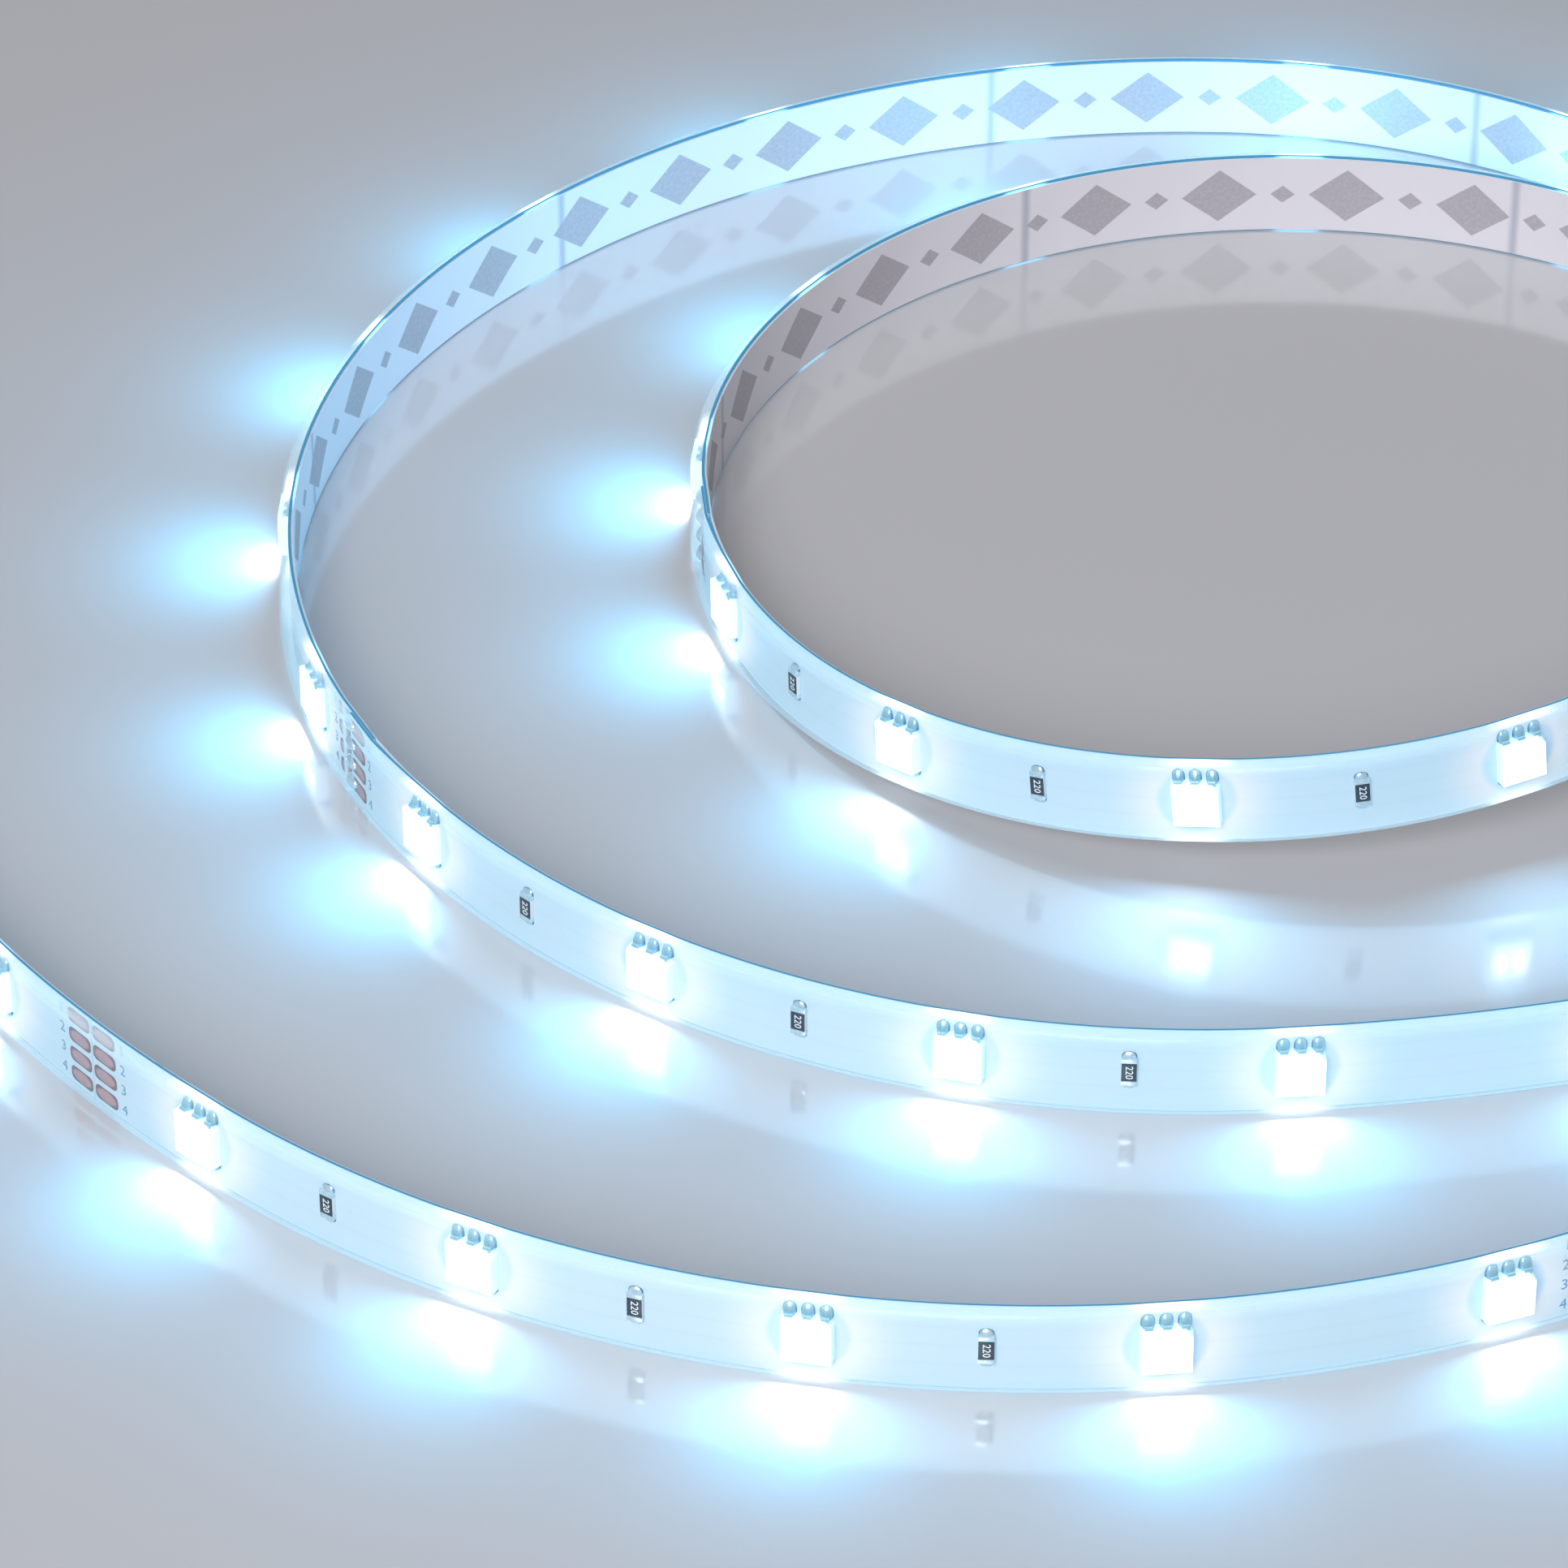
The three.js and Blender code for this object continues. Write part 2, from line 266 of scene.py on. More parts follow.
class StripFinishes(bpy.types.PropertyGroup):
    """Colours of the strip's finishes."""

    mask: a_colour("Solder mask", "White board lacquer", linear("#c5cdd3"))
    mask_glow: a_colour("Board glow", "Light carried along the board between LEDs", (0.02, 0.14, 0.20))
    halo: a_colour("Halo", "Light added to the board round each LED", (0.22, 0.10, 0.03))
    cut_edge: a_colour("Cut edge", "Slit edge of the board, lit blue from inside", linear("#1f7aa6"))
    silicone: a_colour("Silicone", "Clear coat over the board", linear("#f0faff"))
    tape: a_colour("Tape", "Adhesive tape", linear("#dde3e8"))
    liner: a_colour("Liner paper", "Release paper", linear("#e0dee4"))
    liner_print: a_colour("Liner print", "Grey marks printed on the release paper", linear("#ada9b0"))
    housing: a_colour("LED housing", "Moulded white housing", linear("#f0f4f6"))
    glow: a_colour("LED glow", "Colour of the light from the windows", (0.05, 0.58, 1.0))
    copper: a_colour("Pad copper", "Bare copper under a clear coat", linear("#d0a79b"))
    ink: a_colour("Board ink", "Numbers printed beside the pads", linear("#6f95b0"))


class StageSettings(bpy.types.PropertyGroup):
    """Floor, lamps and camera."""

    floor: a_colour("Floor", "Pale glossy floor", linear("#cacacd"))
    world: bpy.props.FloatProperty(
        name="World strength", description="Strength of the even light from all round", default=0.22)
    key: a_power("Overhead lamp", "Power of the large soft lamp overhead", 7.0)
    fill: a_power("Fill lamp", "Power of the lamp on the camera's side", 15.0)
    throw: a_power("LED light", "Power that each LED throws on what is round it", 0.0069)
    spill: a_power("Coat light", "Power that leaves the silicone low down beside each LED", 0.0006)
    camera_place: bpy.props.FloatVectorProperty(
        name="Camera", description="Camera place, from the strip's outer end", subtype="XYZ",
        unit="LENGTH", default=(0.10641, -0.71789, 0.43299), precision=5)
    camera_pitch: bpy.props.FloatProperty(
        name="Camera pitch", description="How far the camera looks down", subtype="ANGLE",
        default=0.612736)
    lens: bpy.props.FloatProperty(
        name="Lens", description="Focal length on a 36 mm sensor, in millimetres", default=164.77)


def add_node(tree, kind, links=None, pick=0, **settings):
    """Adds a node, sets it up, fills its inputs with values or other nodes' outputs, and gives the
    output that is picked, or all of them."""
    node = tree.nodes.new(kind)
    for name, value in settings.items():
        setattr(node, name, value)
    for key, value in (links or {}).items():
        if isinstance(value, bpy.types.NodeSocket):
            tree.links.new(value, node.inputs[key])
        else:
            node.inputs[key].default_value = value
    return node.outputs if pick is None or not node.outputs else node.outputs[pick]


def start_finish(name, sampled=True):
    """An empty material, and add_node bound to its tree. An unsampled one glows too faintly to be
    worth a light ray."""
    material = bpy.data.materials.new(name)
    material.use_nodes = True
    material.node_tree.nodes.clear()
    if not sampled:
        material.cycles.emission_sampling = "NONE"
    return material, partial(add_node, material.node_tree)


def close_finish(material, sockets):
    shader = add_node(material.node_tree, "ShaderNodeBsdfPrincipled", sockets)
    add_node(material.node_tree, "ShaderNodeOutputMaterial", {"Surface": shader})
    return material


def strip_coordinates(add):
    """Millimetres along the board and across it, as numbers and as one vector."""
    along, across = (
        add("ShaderNodeAttribute", attribute_name=name, pick="Fac") for name in ("along", "across"))
    place = add("ShaderNodeCombineXYZ", {"X": along, "Y": across})
    return along, across, place


def surface_grain(add, place, scale, detail, strength, depth, below=None):
    """The fine noise of a surface, and the bump it gives on top of the bump below."""
    grain = add("ShaderNodeTexNoise", {"Vector": place, "Scale": scale, "Detail": detail}, pick="Fac")
    height = {"Height": grain, "Strength": strength, "Distance": depth}
    if below is not None:
        height["Normal"] = below
    return grain, add("ShaderNodeBump", height)


def solder_mask(finishes):
    """White liquid solder mask on polyimide under clear silicone: smooth, with the copper runs
    barely showing. The light of the LEDs runs in the silicone and lights the board blue, with a
    white halo that starts at a ring 4 mm round each LED, where light is turned back to the board."""
    material, add = start_finish("white_solder_mask", sampled=False)
    along, across, place = strip_coordinates(add)
    depth = add("ShaderNodeAttribute", attribute_name="outward", pick="Fac")
    pitch = LED_PITCH / MM
    middle = BOARD_WIDTH / MM / 2
    # Place round the nearest LED, and distance to the nearest cut line
    offset = add("ShaderNodeMath", {0: along, 1: pitch, 2: 0.0}, operation="WRAP")
    offset = add("ShaderNodeMath", {0: offset, 1: pitch / 2}, operation="SUBTRACT")
    above = add("ShaderNodeMath", {0: across, 1: middle}, operation="SUBTRACT")
    cut_gap = add("ShaderNodeMath", {0: along, 1: UNIT_LENGTH / MM / 2}, operation="PINGPONG")
    away = add("ShaderNodeCombineXYZ", {"X": offset, "Y": above})
    reach = add("ShaderNodeVectorMath", {0: away}, operation="LENGTH", pick="Value")
    fade = add(
        "ShaderNodeMapRange",
        {"Value": reach, "From Min": HALO_START, "From Max": HALO_END, "To Min": 1, "To Max": 0},
        interpolation_type="SMOOTHSTEP")
    fade = add("ShaderNodeMath", {0: fade, 1: 2.0}, operation="POWER")
    ring = add(
        "ShaderNodeMapRange", {"Value": reach, "From Min": RING_START, "From Max": RING_END},
        interpolation_type="SMOOTHSTEP")
    halo = add("ShaderNodeMath", {0: fade, 1: ring}, operation="MULTIPLY")
    # Inside the ring the light is greenish on the earlier side and violet on the later one
    inside = add("ShaderNodeMath", {0: 1.0, 1: ring}, operation="SUBTRACT")
    side = add("ShaderNodeMapRange", {"Value": offset, "From Min": -TINT_REACH, "From Max": TINT_REACH})
    tint = add(
        "ShaderNodeMix", {"Factor": side, 6: (0.0, 0.02, 0.0, 1), 7: (0.04, 0.0, 0.02, 1)},
        data_type="RGBA", pick=2)
    tint = add("ShaderNodeVectorMath", {0: tint, "Scale": inside}, operation="SCALE")
    glow = add("ShaderNodeVectorMath", {0: tuple(finishes.halo), "Scale": halo}, operation="SCALE")
    glow = add("ShaderNodeVectorMath", {0: glow, 1: tint}, operation="ADD")
    glow = add("ShaderNodeVectorMath", {0: glow, 1: tuple(finishes.mask_glow)}, operation="ADD")
    # The slit edges and the bare margin at the back are painted blue as lit from inside, with a painted
    # white glint at each LED
    rim = add("ShaderNodeMath", {0: above}, operation="ABSOLUTE")
    rim = add("ShaderNodeMath", {0: rim, 1: middle - 0.045}, operation="GREATER_THAN")
    behind = add("ShaderNodeMath", {0: depth, 1: BOARD_BACK / MM + 0.04}, operation="LESS_THAN")
    rim = add("ShaderNodeMath", {0: rim, 1: behind}, operation="MAXIMUM")
    gap = add("ShaderNodeMath", {0: offset}, operation="ABSOLUTE")
    glint = add(
        "ShaderNodeMapRange",
        {"Value": gap, "From Min": GLINT_START, "From Max": GLINT_END, "To Min": 1.6, "To Max": 0.06},
        interpolation_type="SMOOTHSTEP")
    glint = add("ShaderNodeMath", {0: glint, 1: behind}, operation="MULTIPLY")
    glint = add("ShaderNodeMath", {0: glint, 1: 0.16}, operation="MAXIMUM")
    leak = add("ShaderNodeVectorMath", {0: linear("#8fe0ff"), "Scale": glint}, operation="SCALE")
    glow = add("ShaderNodeMix", {"Factor": rim, 4: glow, 5: leak}, data_type="VECTOR", pick=1)
    # Copper runs 1.7 mm wide on a 2.2 mm pitch, and a slow waviness of the film at about 20 mm
    runs = add("ShaderNodeMath", {0: above, 1: 1.1}, operation="PINGPONG")
    runs = add(
        "ShaderNodeMapRange", {"Value": runs, "From Min": 0.05, "From Max": 0.35},
        interpolation_type="SMOOTHSTEP")
    peel, bump = surface_grain(add, place, scale=0.9, detail=2.0, strength=0.1, depth=0.03 * MM)
    _, bump = surface_grain(
        add, place, scale=0.05, detail=1.0, strength=0.3, depth=1.0 * MM, below=bump)
    # The cut line is a thin grey stroke; the film is a touch cooler between the copper runs
    line = add("ShaderNodeMath", {0: cut_gap, 1: 0.0, 2: 0.07}, operation="COMPARE")
    cool = tuple(c * 0.975 for c in finishes.mask)
    film = add(
        "ShaderNodeMix", {"Factor": runs, 6: (*cool, 1), 7: (*finishes.mask, 1)}, data_type="RGBA",
        pick=2)
    colour = add(
        "ShaderNodeMix", {"Factor": line, 6: film, 7: (*linear("#a9bac6"), 1)}, data_type="RGBA",
        pick=2)
    # Painted light: the slit edges and back margin take the blue cut-edge colour as lit from inside
    colour = add(
        "ShaderNodeMix", {"Factor": rim, 6: colour, 7: (*finishes.cut_edge, 1)}, data_type="RGBA",
        pick=2)
    rough = add("ShaderNodeMapRange", {"Value": peel, "To Min": 0.34, "To Max": 0.44})
    return close_finish(material, {
        "Base Color": colour, "Roughness": rough, "IOR": 1.5, "Normal": bump,
        "Emission Color": glow, "Emission Strength": 1.0,
    })


def clear_silicone(finishes):
    """Clear silicone run over the board: wet-looking and almost unseen on its flat face, with a painted
    blue glow and painted sheen along its rounded shoulders, where the light inside it comes out, with a
    painted white glint on its edge at each LED, and with faint drag marks."""
    material, add = start_finish("clear_silicone", sampled=False)
    _, across, place = strip_coordinates(add)
    middle = BOARD_WIDTH / MM / 2
    edge = add("ShaderNodeMath", {0: across, 1: middle}, operation="SUBTRACT")
    edge = add("ShaderNodeMath", {0: edge}, operation="ABSOLUTE")
    shoulder = add(
        "ShaderNodeMapRange",
        {"Value": edge, "From Min": middle - 1.25 * COAT_SHOULDER / MM, "From Max": middle},
        interpolation_type="SMOOTHSTEP")
    gap = add("ShaderNodeAttribute", attribute_name="led_gap", pick="Fac")
    lit = add(
        "ShaderNodeMapRange",
        {"Value": gap, "From Min": 1.0, "From Max": 4.5, "To Min": 1, "To Max": 0},
        interpolation_type="SMOOTHSTEP")
    brim = add(
        "ShaderNodeMapRange", {"Value": edge, "From Min": middle - 0.5, "From Max": middle - 0.1},
        interpolation_type="SMOOTHSTEP")
    lit = add("ShaderNodeMath", {0: lit, 1: brim}, operation="MULTIPLY")
    glow = add(
        "ShaderNodeMix", {"Factor": lit, 6: (0.06, 0.50, 0.74, 1), 7: (1.8, 2.0, 2.0, 1)},
        data_type="RGBA", pick=2)
    # Drag marks: long streaks at a slant, a few tenths of a millimetre apart
    turned = add(
        "ShaderNodeMapping",
        {"Vector": place, "Rotation": (0, 0, math.radians(34)), "Scale": (0.12, 1.5, 1)})
    _, bump = surface_grain(add, turned, scale=0.8, detail=2.0, strength=0.25, depth=0.05 * MM)
    # Painted glow and sheen: the shoulders grow more opaque, most of all near each LED, so the glow
    # colour and the pale silicone show there
    shoulder_glow = add("ShaderNodeMapRange", {"Value": lit, "To Min": 0.31, "To Max": 0.7})
    alpha = add("ShaderNodeMath", {0: shoulder, 1: shoulder_glow, 2: 0.03}, operation="MULTIPLY_ADD")
    return close_finish(material, {
        "Base Color": (*finishes.silicone, 1), "Roughness": 0.1, "IOR": 1.41, "Normal": bump,
        "Emission Color": glow, "Emission Strength": 0.5, "Alpha": alpha,
    })


def acrylic_tape(finishes):
    """Clear-white acrylic transfer tape: soft edges with a milky, slightly uneven body that
    carries a little of the LEDs' light."""
    material, add = start_finish("acrylic_tape", sampled=False)
    _, _, place = strip_coordinates(add)
    pull, bump = surface_grain(add, place, scale=1.4, detail=3.0, strength=0.3, depth=0.03 * MM)
    colour = add(
        "ShaderNodeMix", {"Factor": pull, 6: (*finishes.tape, 1), 7: (*linear("#b9d3e2"), 1)},
        data_type="RGBA", pick=2)
    gap = add("ShaderNodeAttribute", attribute_name="led_gap", pick="Fac")
    glow = add(
        "ShaderNodeMapRange",
        {"Value": gap, "From Min": 2.0, "From Max": 5.0, "To Min": 0.9, "To Max": 0.14},
        interpolation_type="SMOOTHSTEP")
    light = add("ShaderNodeVectorMath", {0: linear("#8fdcff"), "Scale": glow}, operation="SCALE")
    return close_finish(material, {
        "Base Color": colour, "Roughness": 0.5, "IOR": 1.48, "Normal": bump,
        "Emission Color": light, "Emission Strength": 1.0,
    })


def release_paper(finishes):
    """Calendered silicone release paper: satin, faintly fibrous, with large grey printed lozenges,
    small ones between them, and soft fold marks across it, darkened with painted shade."""
    material, add = start_finish("printed_release_paper")
    along, across, place = strip_coordinates(add)
    # Lozenges 9 mm by 7 mm on a 15 mm pitch, and small ones 3 mm by 2.4 mm halfway between them
    high = add("ShaderNodeMath", {0: across, 1: BOARD_WIDTH / MM / 2}, operation="SUBTRACT")
    high = add("ShaderNodeMath", {0: high}, operation="ABSOLUTE")
    marks = []
    for shift, half_length, half_width in LOZENGES:
        moved = add("ShaderNodeMath", {0: along, 1: shift}, operation="ADD")
        near = add("ShaderNodeMath", {0: moved, 1: PRINT_PITCH / 2}, operation="PINGPONG")
        across_share = add(
            "ShaderNodeMath", {0: high, 1: half_length / half_width, 2: near}, operation="MULTIPLY_ADD")
        marks.append(add(
            "ShaderNodeMapRange",
            {"Value": across_share, "From Min": half_length - 0.12, "From Max": half_length,
             "To Min": 1, "To Max": 0}, interpolation_type="SMOOTHSTEP"))
    print_mask = add("ShaderNodeMath", {0: marks[0], 1: marks[1]}, operation="MAXIMUM")
    # Ink is uneven at about a third of a millimetre
    grain = add("ShaderNodeTexNoise", {"Vector": place, "Scale": 2.2, "Detail": 3.0}, pick="Fac")
    cover = add(
        "ShaderNodeMapRange",
        {"Value": grain, "From Min": 0.3, "From Max": 0.6, "To Min": 0.82, "To Max": 1})
    cover = add("ShaderNodeMath", {0: cover, 1: print_mask}, operation="MULTIPLY")
    # Fold marks 59 mm apart, a shallow groove about 1.4 mm wide, with painted shade in it
    fold = add("ShaderNodeMath", {0: along, 1: FOLD_PITCH / 2}, operation="PINGPONG")
    fold = add(
        "ShaderNodeMapRange", {"Value": fold, "From Min": 0, "From Max": 0.9, "To Min": 1, "To Max": 0},
        interpolation_type="SMOOTHSTEP")
    # Painted shade: the paper is darker in each fold
    paper = add(
        "ShaderNodeMix", {"Factor": fold, 6: (*finishes.liner, 1), 7: (*linear("#b9bac6"), 1)},
        data_type="RGBA", pick=2)
    colour = add(
        "ShaderNodeMix", {"Factor": cover, 6: paper, 7: (*finishes.liner_print, 1)}, data_type="RGBA",
        pick=2)
    # Paper fibres, and the slow cockle of paper bent round a coil
    fibre, bump = surface_grain(add, place, scale=2.0, detail=4.0, strength=0.2, depth=0.02 * MM)
    bump = add(
        "ShaderNodeBump", {"Height": fold, "Strength": 0.5, "Distance": 0.12 * MM, "Normal": bump},
        invert=True)
    _, bump = surface_grain(
        add, place, scale=0.06, detail=1.0, strength=0.4, depth=1.0 * MM, below=bump)
    rough = add("ShaderNodeMapRange", {"Value": fibre, "To Min": 0.42, "To Max": 0.56})
    return close_finish(material, {
        "Base Color": colour, "Roughness": rough, "IOR": 1.45, "Normal": bump,
    })


def moulded_housing(finishes):
    """White moulded polyamide: satin with a fine moulding texture, and so thin-walled that
    the light inside makes its face glow and its walls pale blue."""
    material, add = start_finish("moulded_white_housing", sampled=False)
    place = add("ShaderNodeTexCoord", pick="Object")
    level = add("ShaderNodeAttribute", attribute_name="lit", pick="Fac")
    _, bump = surface_grain(add, place, scale=5200.0, detail=2.0, strength=0.2, depth=0.01 * MM)
    glow = add(
        "ShaderNodeMix", {"Factor": level, 6: (*linear("#5f9fc4"), 1), 7: (*linear("#f6fdff"), 1)},
        data_type="RGBA", pick=2)
    return close_finish(material, {
        "Base Color": (*finishes.housing, 1), "Roughness": 0.42, "IOR": 1.55, "Normal": bump,
        "Emission Color": glow, "Emission Strength": 1.0,
    })


def lit_silicone():
    """Clear silicone that fills the LED's cup: evenly lit from below, brightest at the cup's wall."""
    material, add = start_finish("lit_silicone_window", sampled=False)
    spot = add("ShaderNodeUVMap", uv_map="window", pick="UV")
    out = add("ShaderNodeVectorMath", {0: spot, 1: (0.5, 0.5, 0)}, operation="DISTANCE", pick="Value")
    level = add(
        "ShaderNodeMapRange",
        {"Value": out, "From Min": 0.34, "From Max": 0.48, "To Min": 1.15, "To Max": 1.5},
        interpolation_type="SMOOTHSTEP")
    glow = add("ShaderNodeVectorMath", {0: linear("#f2feff"), "Scale": level}, operation="SCALE")
    return close_finish(material, {
        "Base Color": (*linear("#f4fbff"), 1), "Roughness": 0.12, "IOR": 1.41,
        "Emission Color": glow, "Emission Strength": 1.0,
    })


def lit_die():
    """Lit die under clear silicone, seen twice in the floor's gloss."""
    material, _ = start_finish("lit_die", sampled=False)
    return close_finish(material, {
        "Base Color": (*linear("#fbffff"), 1), "Roughness": 0.12, "IOR": 1.41,
        "Emission Color": (*linear("#f3fcff"), 1), "Emission Strength": 26.0,
    })


def bright_solder(name, colour, roughness):
    """Tin solder under clear silicone: a bright skin with faint dendrites and small pits, tinted teal
    as painted reflection of the LEDs' light, with a painted deep blue reflection at the thin rim where
    it meets the board."""
    material, add = start_finish(name)
    place = add("ShaderNodeTexCoord", pick="Object")
    rim = add("ShaderNodeAttribute", attribute_name="rim", pick="Fac")
    rim = add(
        "ShaderNodeMapRange", {"Value": rim, "From Min": 0.1, "From Max": 0.8},
        interpolation_type="SMOOTHSTEP")
    skin, bump = surface_grain(add, place, scale=2600.0, detail=3.0, strength=0.25, depth=0.02 * MM)
    # Painted reflection: the teal second tone stands in for the LEDs' light on the skin
    tone = add(
        "ShaderNodeMix", {"Factor": skin, 6: (*linear(colour), 1), 7: (*linear("#8fc3d6"), 1)},
        data_type="RGBA", pick=2)
    # Painted reflection: deep blue at the thin rim where the solder meets the board
    tone = add(
        "ShaderNodeMix", {"Factor": rim, 6: tone, 7: (*linear("#2a7ea6"), 1)}, data_type="RGBA", pick=2)
    rough = add("ShaderNodeMapRange", {"Value": skin, "To Min": roughness, "To Max": roughness + 0.14})
    return close_finish(material, {
        "Base Color": tone, "Metallic": 0.45, "Roughness": rough, "Normal": bump,
    })


def chip_finish(name, tones, scale, detail, strength, roughness, ior):
    """A hard surface in two close tones, with a bump of the same fine grain."""
    material, add = start_finish(name)
    place = add("ShaderNodeTexCoord", pick="Object")
    grain, bump = surface_grain(add, place, scale, detail, strength, depth=0.01 * MM)
    low, high = ((*linear(tone), 1) for tone in tones)
    tone = add("ShaderNodeMix", {"Factor": grain, 6: low, 7: high}, data_type="RGBA", pick=2)
    return close_finish(material, {
        "Base Color": tone, "Roughness": roughness, "IOR": ior, "Normal": bump,
    })


def resistor_glaze():
    """Black glass glaze over the resistor film: black with a painted blue cast of the LEDs' light,
    satin, finely speckled.
    """
    # Painted light: both tones carry a blue cast of the LEDs' light over the black glaze
    return chip_finish(
        "black_resistor_glaze", ("#06161f", "#103a4c"), scale=4200.0, detail=2.0, strength=0.15,
        roughness=0.32, ior=1.52)


def fired_alumina():
    """Fired alumina chip: white, matte and faintly gritty where it was snapped."""
    return chip_finish(
        "fired_alumina", ("#e9edee", "#cfd8dc"), scale=6000.0, detail=3.0, strength=0.3,
        roughness=0.6, ior=1.76)


def pad_copper(finishes):
    """Bare copper pads, lightly tarnished under a thin protective film: pinkish, brushed along
    the strip, darker toward the rim."""
    material, add = start_finish("filmed_pad_copper")
    place = add("ShaderNodeTexCoord", pick="Object")
    middle = add("ShaderNodeUVMap", uv_map="pad", pick="UV")
    rim = add("ShaderNodeVectorMath", {0: middle, 1: (0.5, 0.5, 0)}, operation="DISTANCE", pick="Value")
    rim = add(
        "ShaderNodeMapRange", {"Value": rim, "From Min": 0.34, "From Max": 0.5},
        interpolation_type="SMOOTHSTEP")
    tarnish = add("ShaderNodeTexNoise", {"Vector": place, "Scale": 900.0, "Detail": 3.0}, pick="Fac")
    tone = add(
        "ShaderNodeMix", {"Factor": tarnish, 6: (*finishes.copper, 1), 7: (*linear("#b3a2b4"), 1)},
        data_type="RGBA", pick=2)
    tone = add(
        "ShaderNodeMix", {"Factor": rim, 6: tone, 7: (*linear("#86767f"), 1)}, data_type="RGBA", pick=2)
    rough = add("ShaderNodeMapRange", {"Value": tarnish, "To Min": 0.3, "To Max": 0.48})
    return close_finish(material, {"Base Color": tone, "Metallic": 0.3, "Roughness": rough})


def board_ink(name, colour):
    """Screen-printed ink: flat, slightly rough, thin enough to be uneven."""
    material, add = start_finish(name)
    place = add("ShaderNodeTexCoord", pick="Object")
    cover = add("ShaderNodeTexNoise", {"Vector": place, "Scale": 3500.0, "Detail": 2.0}, pick="Fac")
    pale = tuple(min(1.0, c * 1.35) for c in colour)
    tone = add(
        "ShaderNodeMix", {"Factor": cover, 6: (*colour, 1), 7: (*pale, 1)}, data_type="RGBA", pick=2)
    return close_finish(material, {"Base Color": tone, "Roughness": 0.55, "IOR": 1.5})


def glossy_floor(stage):
    """Pale acrylic sheet: an even tone under a clear gloss that mirrors the strip."""
    material, add = start_finish("pale_acrylic_sheet")
    place = add("ShaderNodeTexCoord", pick="Object")
    haze = add("ShaderNodeTexNoise", {"Vector": place, "Scale": 9.0, "Detail": 2.0}, pick="Fac")
    rough = add("ShaderNodeMapRange", {"Value": haze, "To Min": 0.09, "To Max": 0.12})
    return close_finish(material, {"Base Color": (*stage.floor, 1), "Roughness": rough, "IOR": 2.6})


def start_tree(name, output, **inputs):
    """A geometry tree with named inputs, add_node bound to it, and its inputs' sockets."""
    tree = bpy.data.node_groups.new(name, "GeometryNodeTree")
    for socket_name, kind in inputs.items():
        socket = tree.interface.new_socket(
            socket_name.replace("_", " "), in_out="INPUT", socket_type=f"NodeSocket{kind}")
        if kind == "Float":
            socket.subtype = "DISTANCE"
    tree.interface.new_socket(output, in_out="OUTPUT", socket_type="NodeSocketGeometry")
    add = partial(add_node, tree)
    return tree, add, add("NodeGroupInput", pick=None)


def close_tree(tree, add, inputs, geometry, output):
    """Makes the result real, gives it its finish and hands it out."""
    real = add("GeometryNodeRealizeInstances", {"Geometry": geometry})
    done = add("GeometryNodeSetMaterial", {"Geometry": real, "Material": inputs["Finish"]})
    add("NodeGroupOutput", {output: done})
    return tree


def start_sweep(name, **sizes):
    """A tree that sweeps a section along a line."""
    return start_tree(
        name, "Ribbon", Line="Geometry", Back="Float", Thickness="Float", Lower_edge="Float",
        Width="Float", **sizes, Finish="Material")


def close_sweep(tree, add, inputs, section, outward):
    """Places the section on the strip, marks it, and sweeps it upright along the line and its climb."""
    # The sweep turns the section's Y downward, so the section is drawn below its own X axis
    drop = add(
        "ShaderNodeMath", {0: inputs["Width"], 1: 0.5, 2: inputs["Lower edge"]},
        operation="MULTIPLY_ADD")
    drop = add("ShaderNodeMath", {0: drop, 1: -1}, operation="MULTIPLY")
    offset = add("ShaderNodeCombineXYZ", {"X": outward, "Y": drop})
    section = add("GeometryNodeTransform", {"Geometry": section, "Translation": offset})
    place = add("GeometryNodeInputPosition")
    parts = add("ShaderNodeSeparateXYZ", {"Vector": place}, pick=None)
    for name, part, scale in (("across", "Y", -1 / MM), ("outward", "X", 1 / MM)):
        value = add("ShaderNodeMath", {0: parts[part], 1: scale}, operation="MULTIPLY")
        section = add(
            "GeometryNodeStoreNamedAttribute", {"Geometry": section, "Name": name, "Value": value},
            data_type="FLOAT", domain="POINT")
    line = add("GeometryNodeMeshToCurve", {"Mesh": inputs["Line"]})
    line = add("GeometryNodeSetCurveNormal", {"Curve": line}, mode="Z_UP")
    ribbon = add(
        "GeometryNodeCurveToMesh", {"Curve": line, "Profile Curve": section, "Fill Caps": True})
    climb = add(
        "GeometryNodeInputNamedAttribute", {"Name": "climb"}, data_type="FLOAT", pick="Attribute")
    lift = add("ShaderNodeCombineXYZ", {"Z": climb})
    ribbon = add("GeometryNodeSetPosition", {"Geometry": ribbon, "Offset": lift})
    crease = add("GeometryNodeInputMeshEdgeAngle", pick="Unsigned Angle")
    sharp = add(
        "FunctionNodeCompare", {0: crease, 1: CREASE_ANGLE}, data_type="FLOAT",
        operation="GREATER_THAN")
    ribbon = add(
        "GeometryNodeSetShadeSmooth", {"Geometry": ribbon, "Shade Smooth": True}, domain="FACE")
    ribbon = add(
        "GeometryNodeSetShadeSmooth", {"Geometry": ribbon, "Selection": sharp, "Shade Smooth": False},
        domain="EDGE")
    return close_tree(tree, add, inputs, ribbon, "Ribbon")


def flat_sweep_tree():
    """Sweeps a flat section with softened edges."""
    tree, add, inputs = start_sweep("flat_sweep", Edge_radius="Float")
    section = add(
        "GeometryNodeCurvePrimitiveQuadrilateral",
        {"Width": inputs["Thickness"], "Height": inputs["Width"]}, mode="RECTANGLE")
    section = add(
        "GeometryNodeFilletCurve", {"Curve": section, "Radius": inputs["Edge radius"], "Count": 1},
        mode="POLY")
    outward = add(
        "ShaderNodeMath", {0: inputs["Thickness"], 1: 0.5, 2: inputs["Back"]}, operation="MULTIPLY_ADD")
    return close_sweep(tree, add, inputs, section, outward)


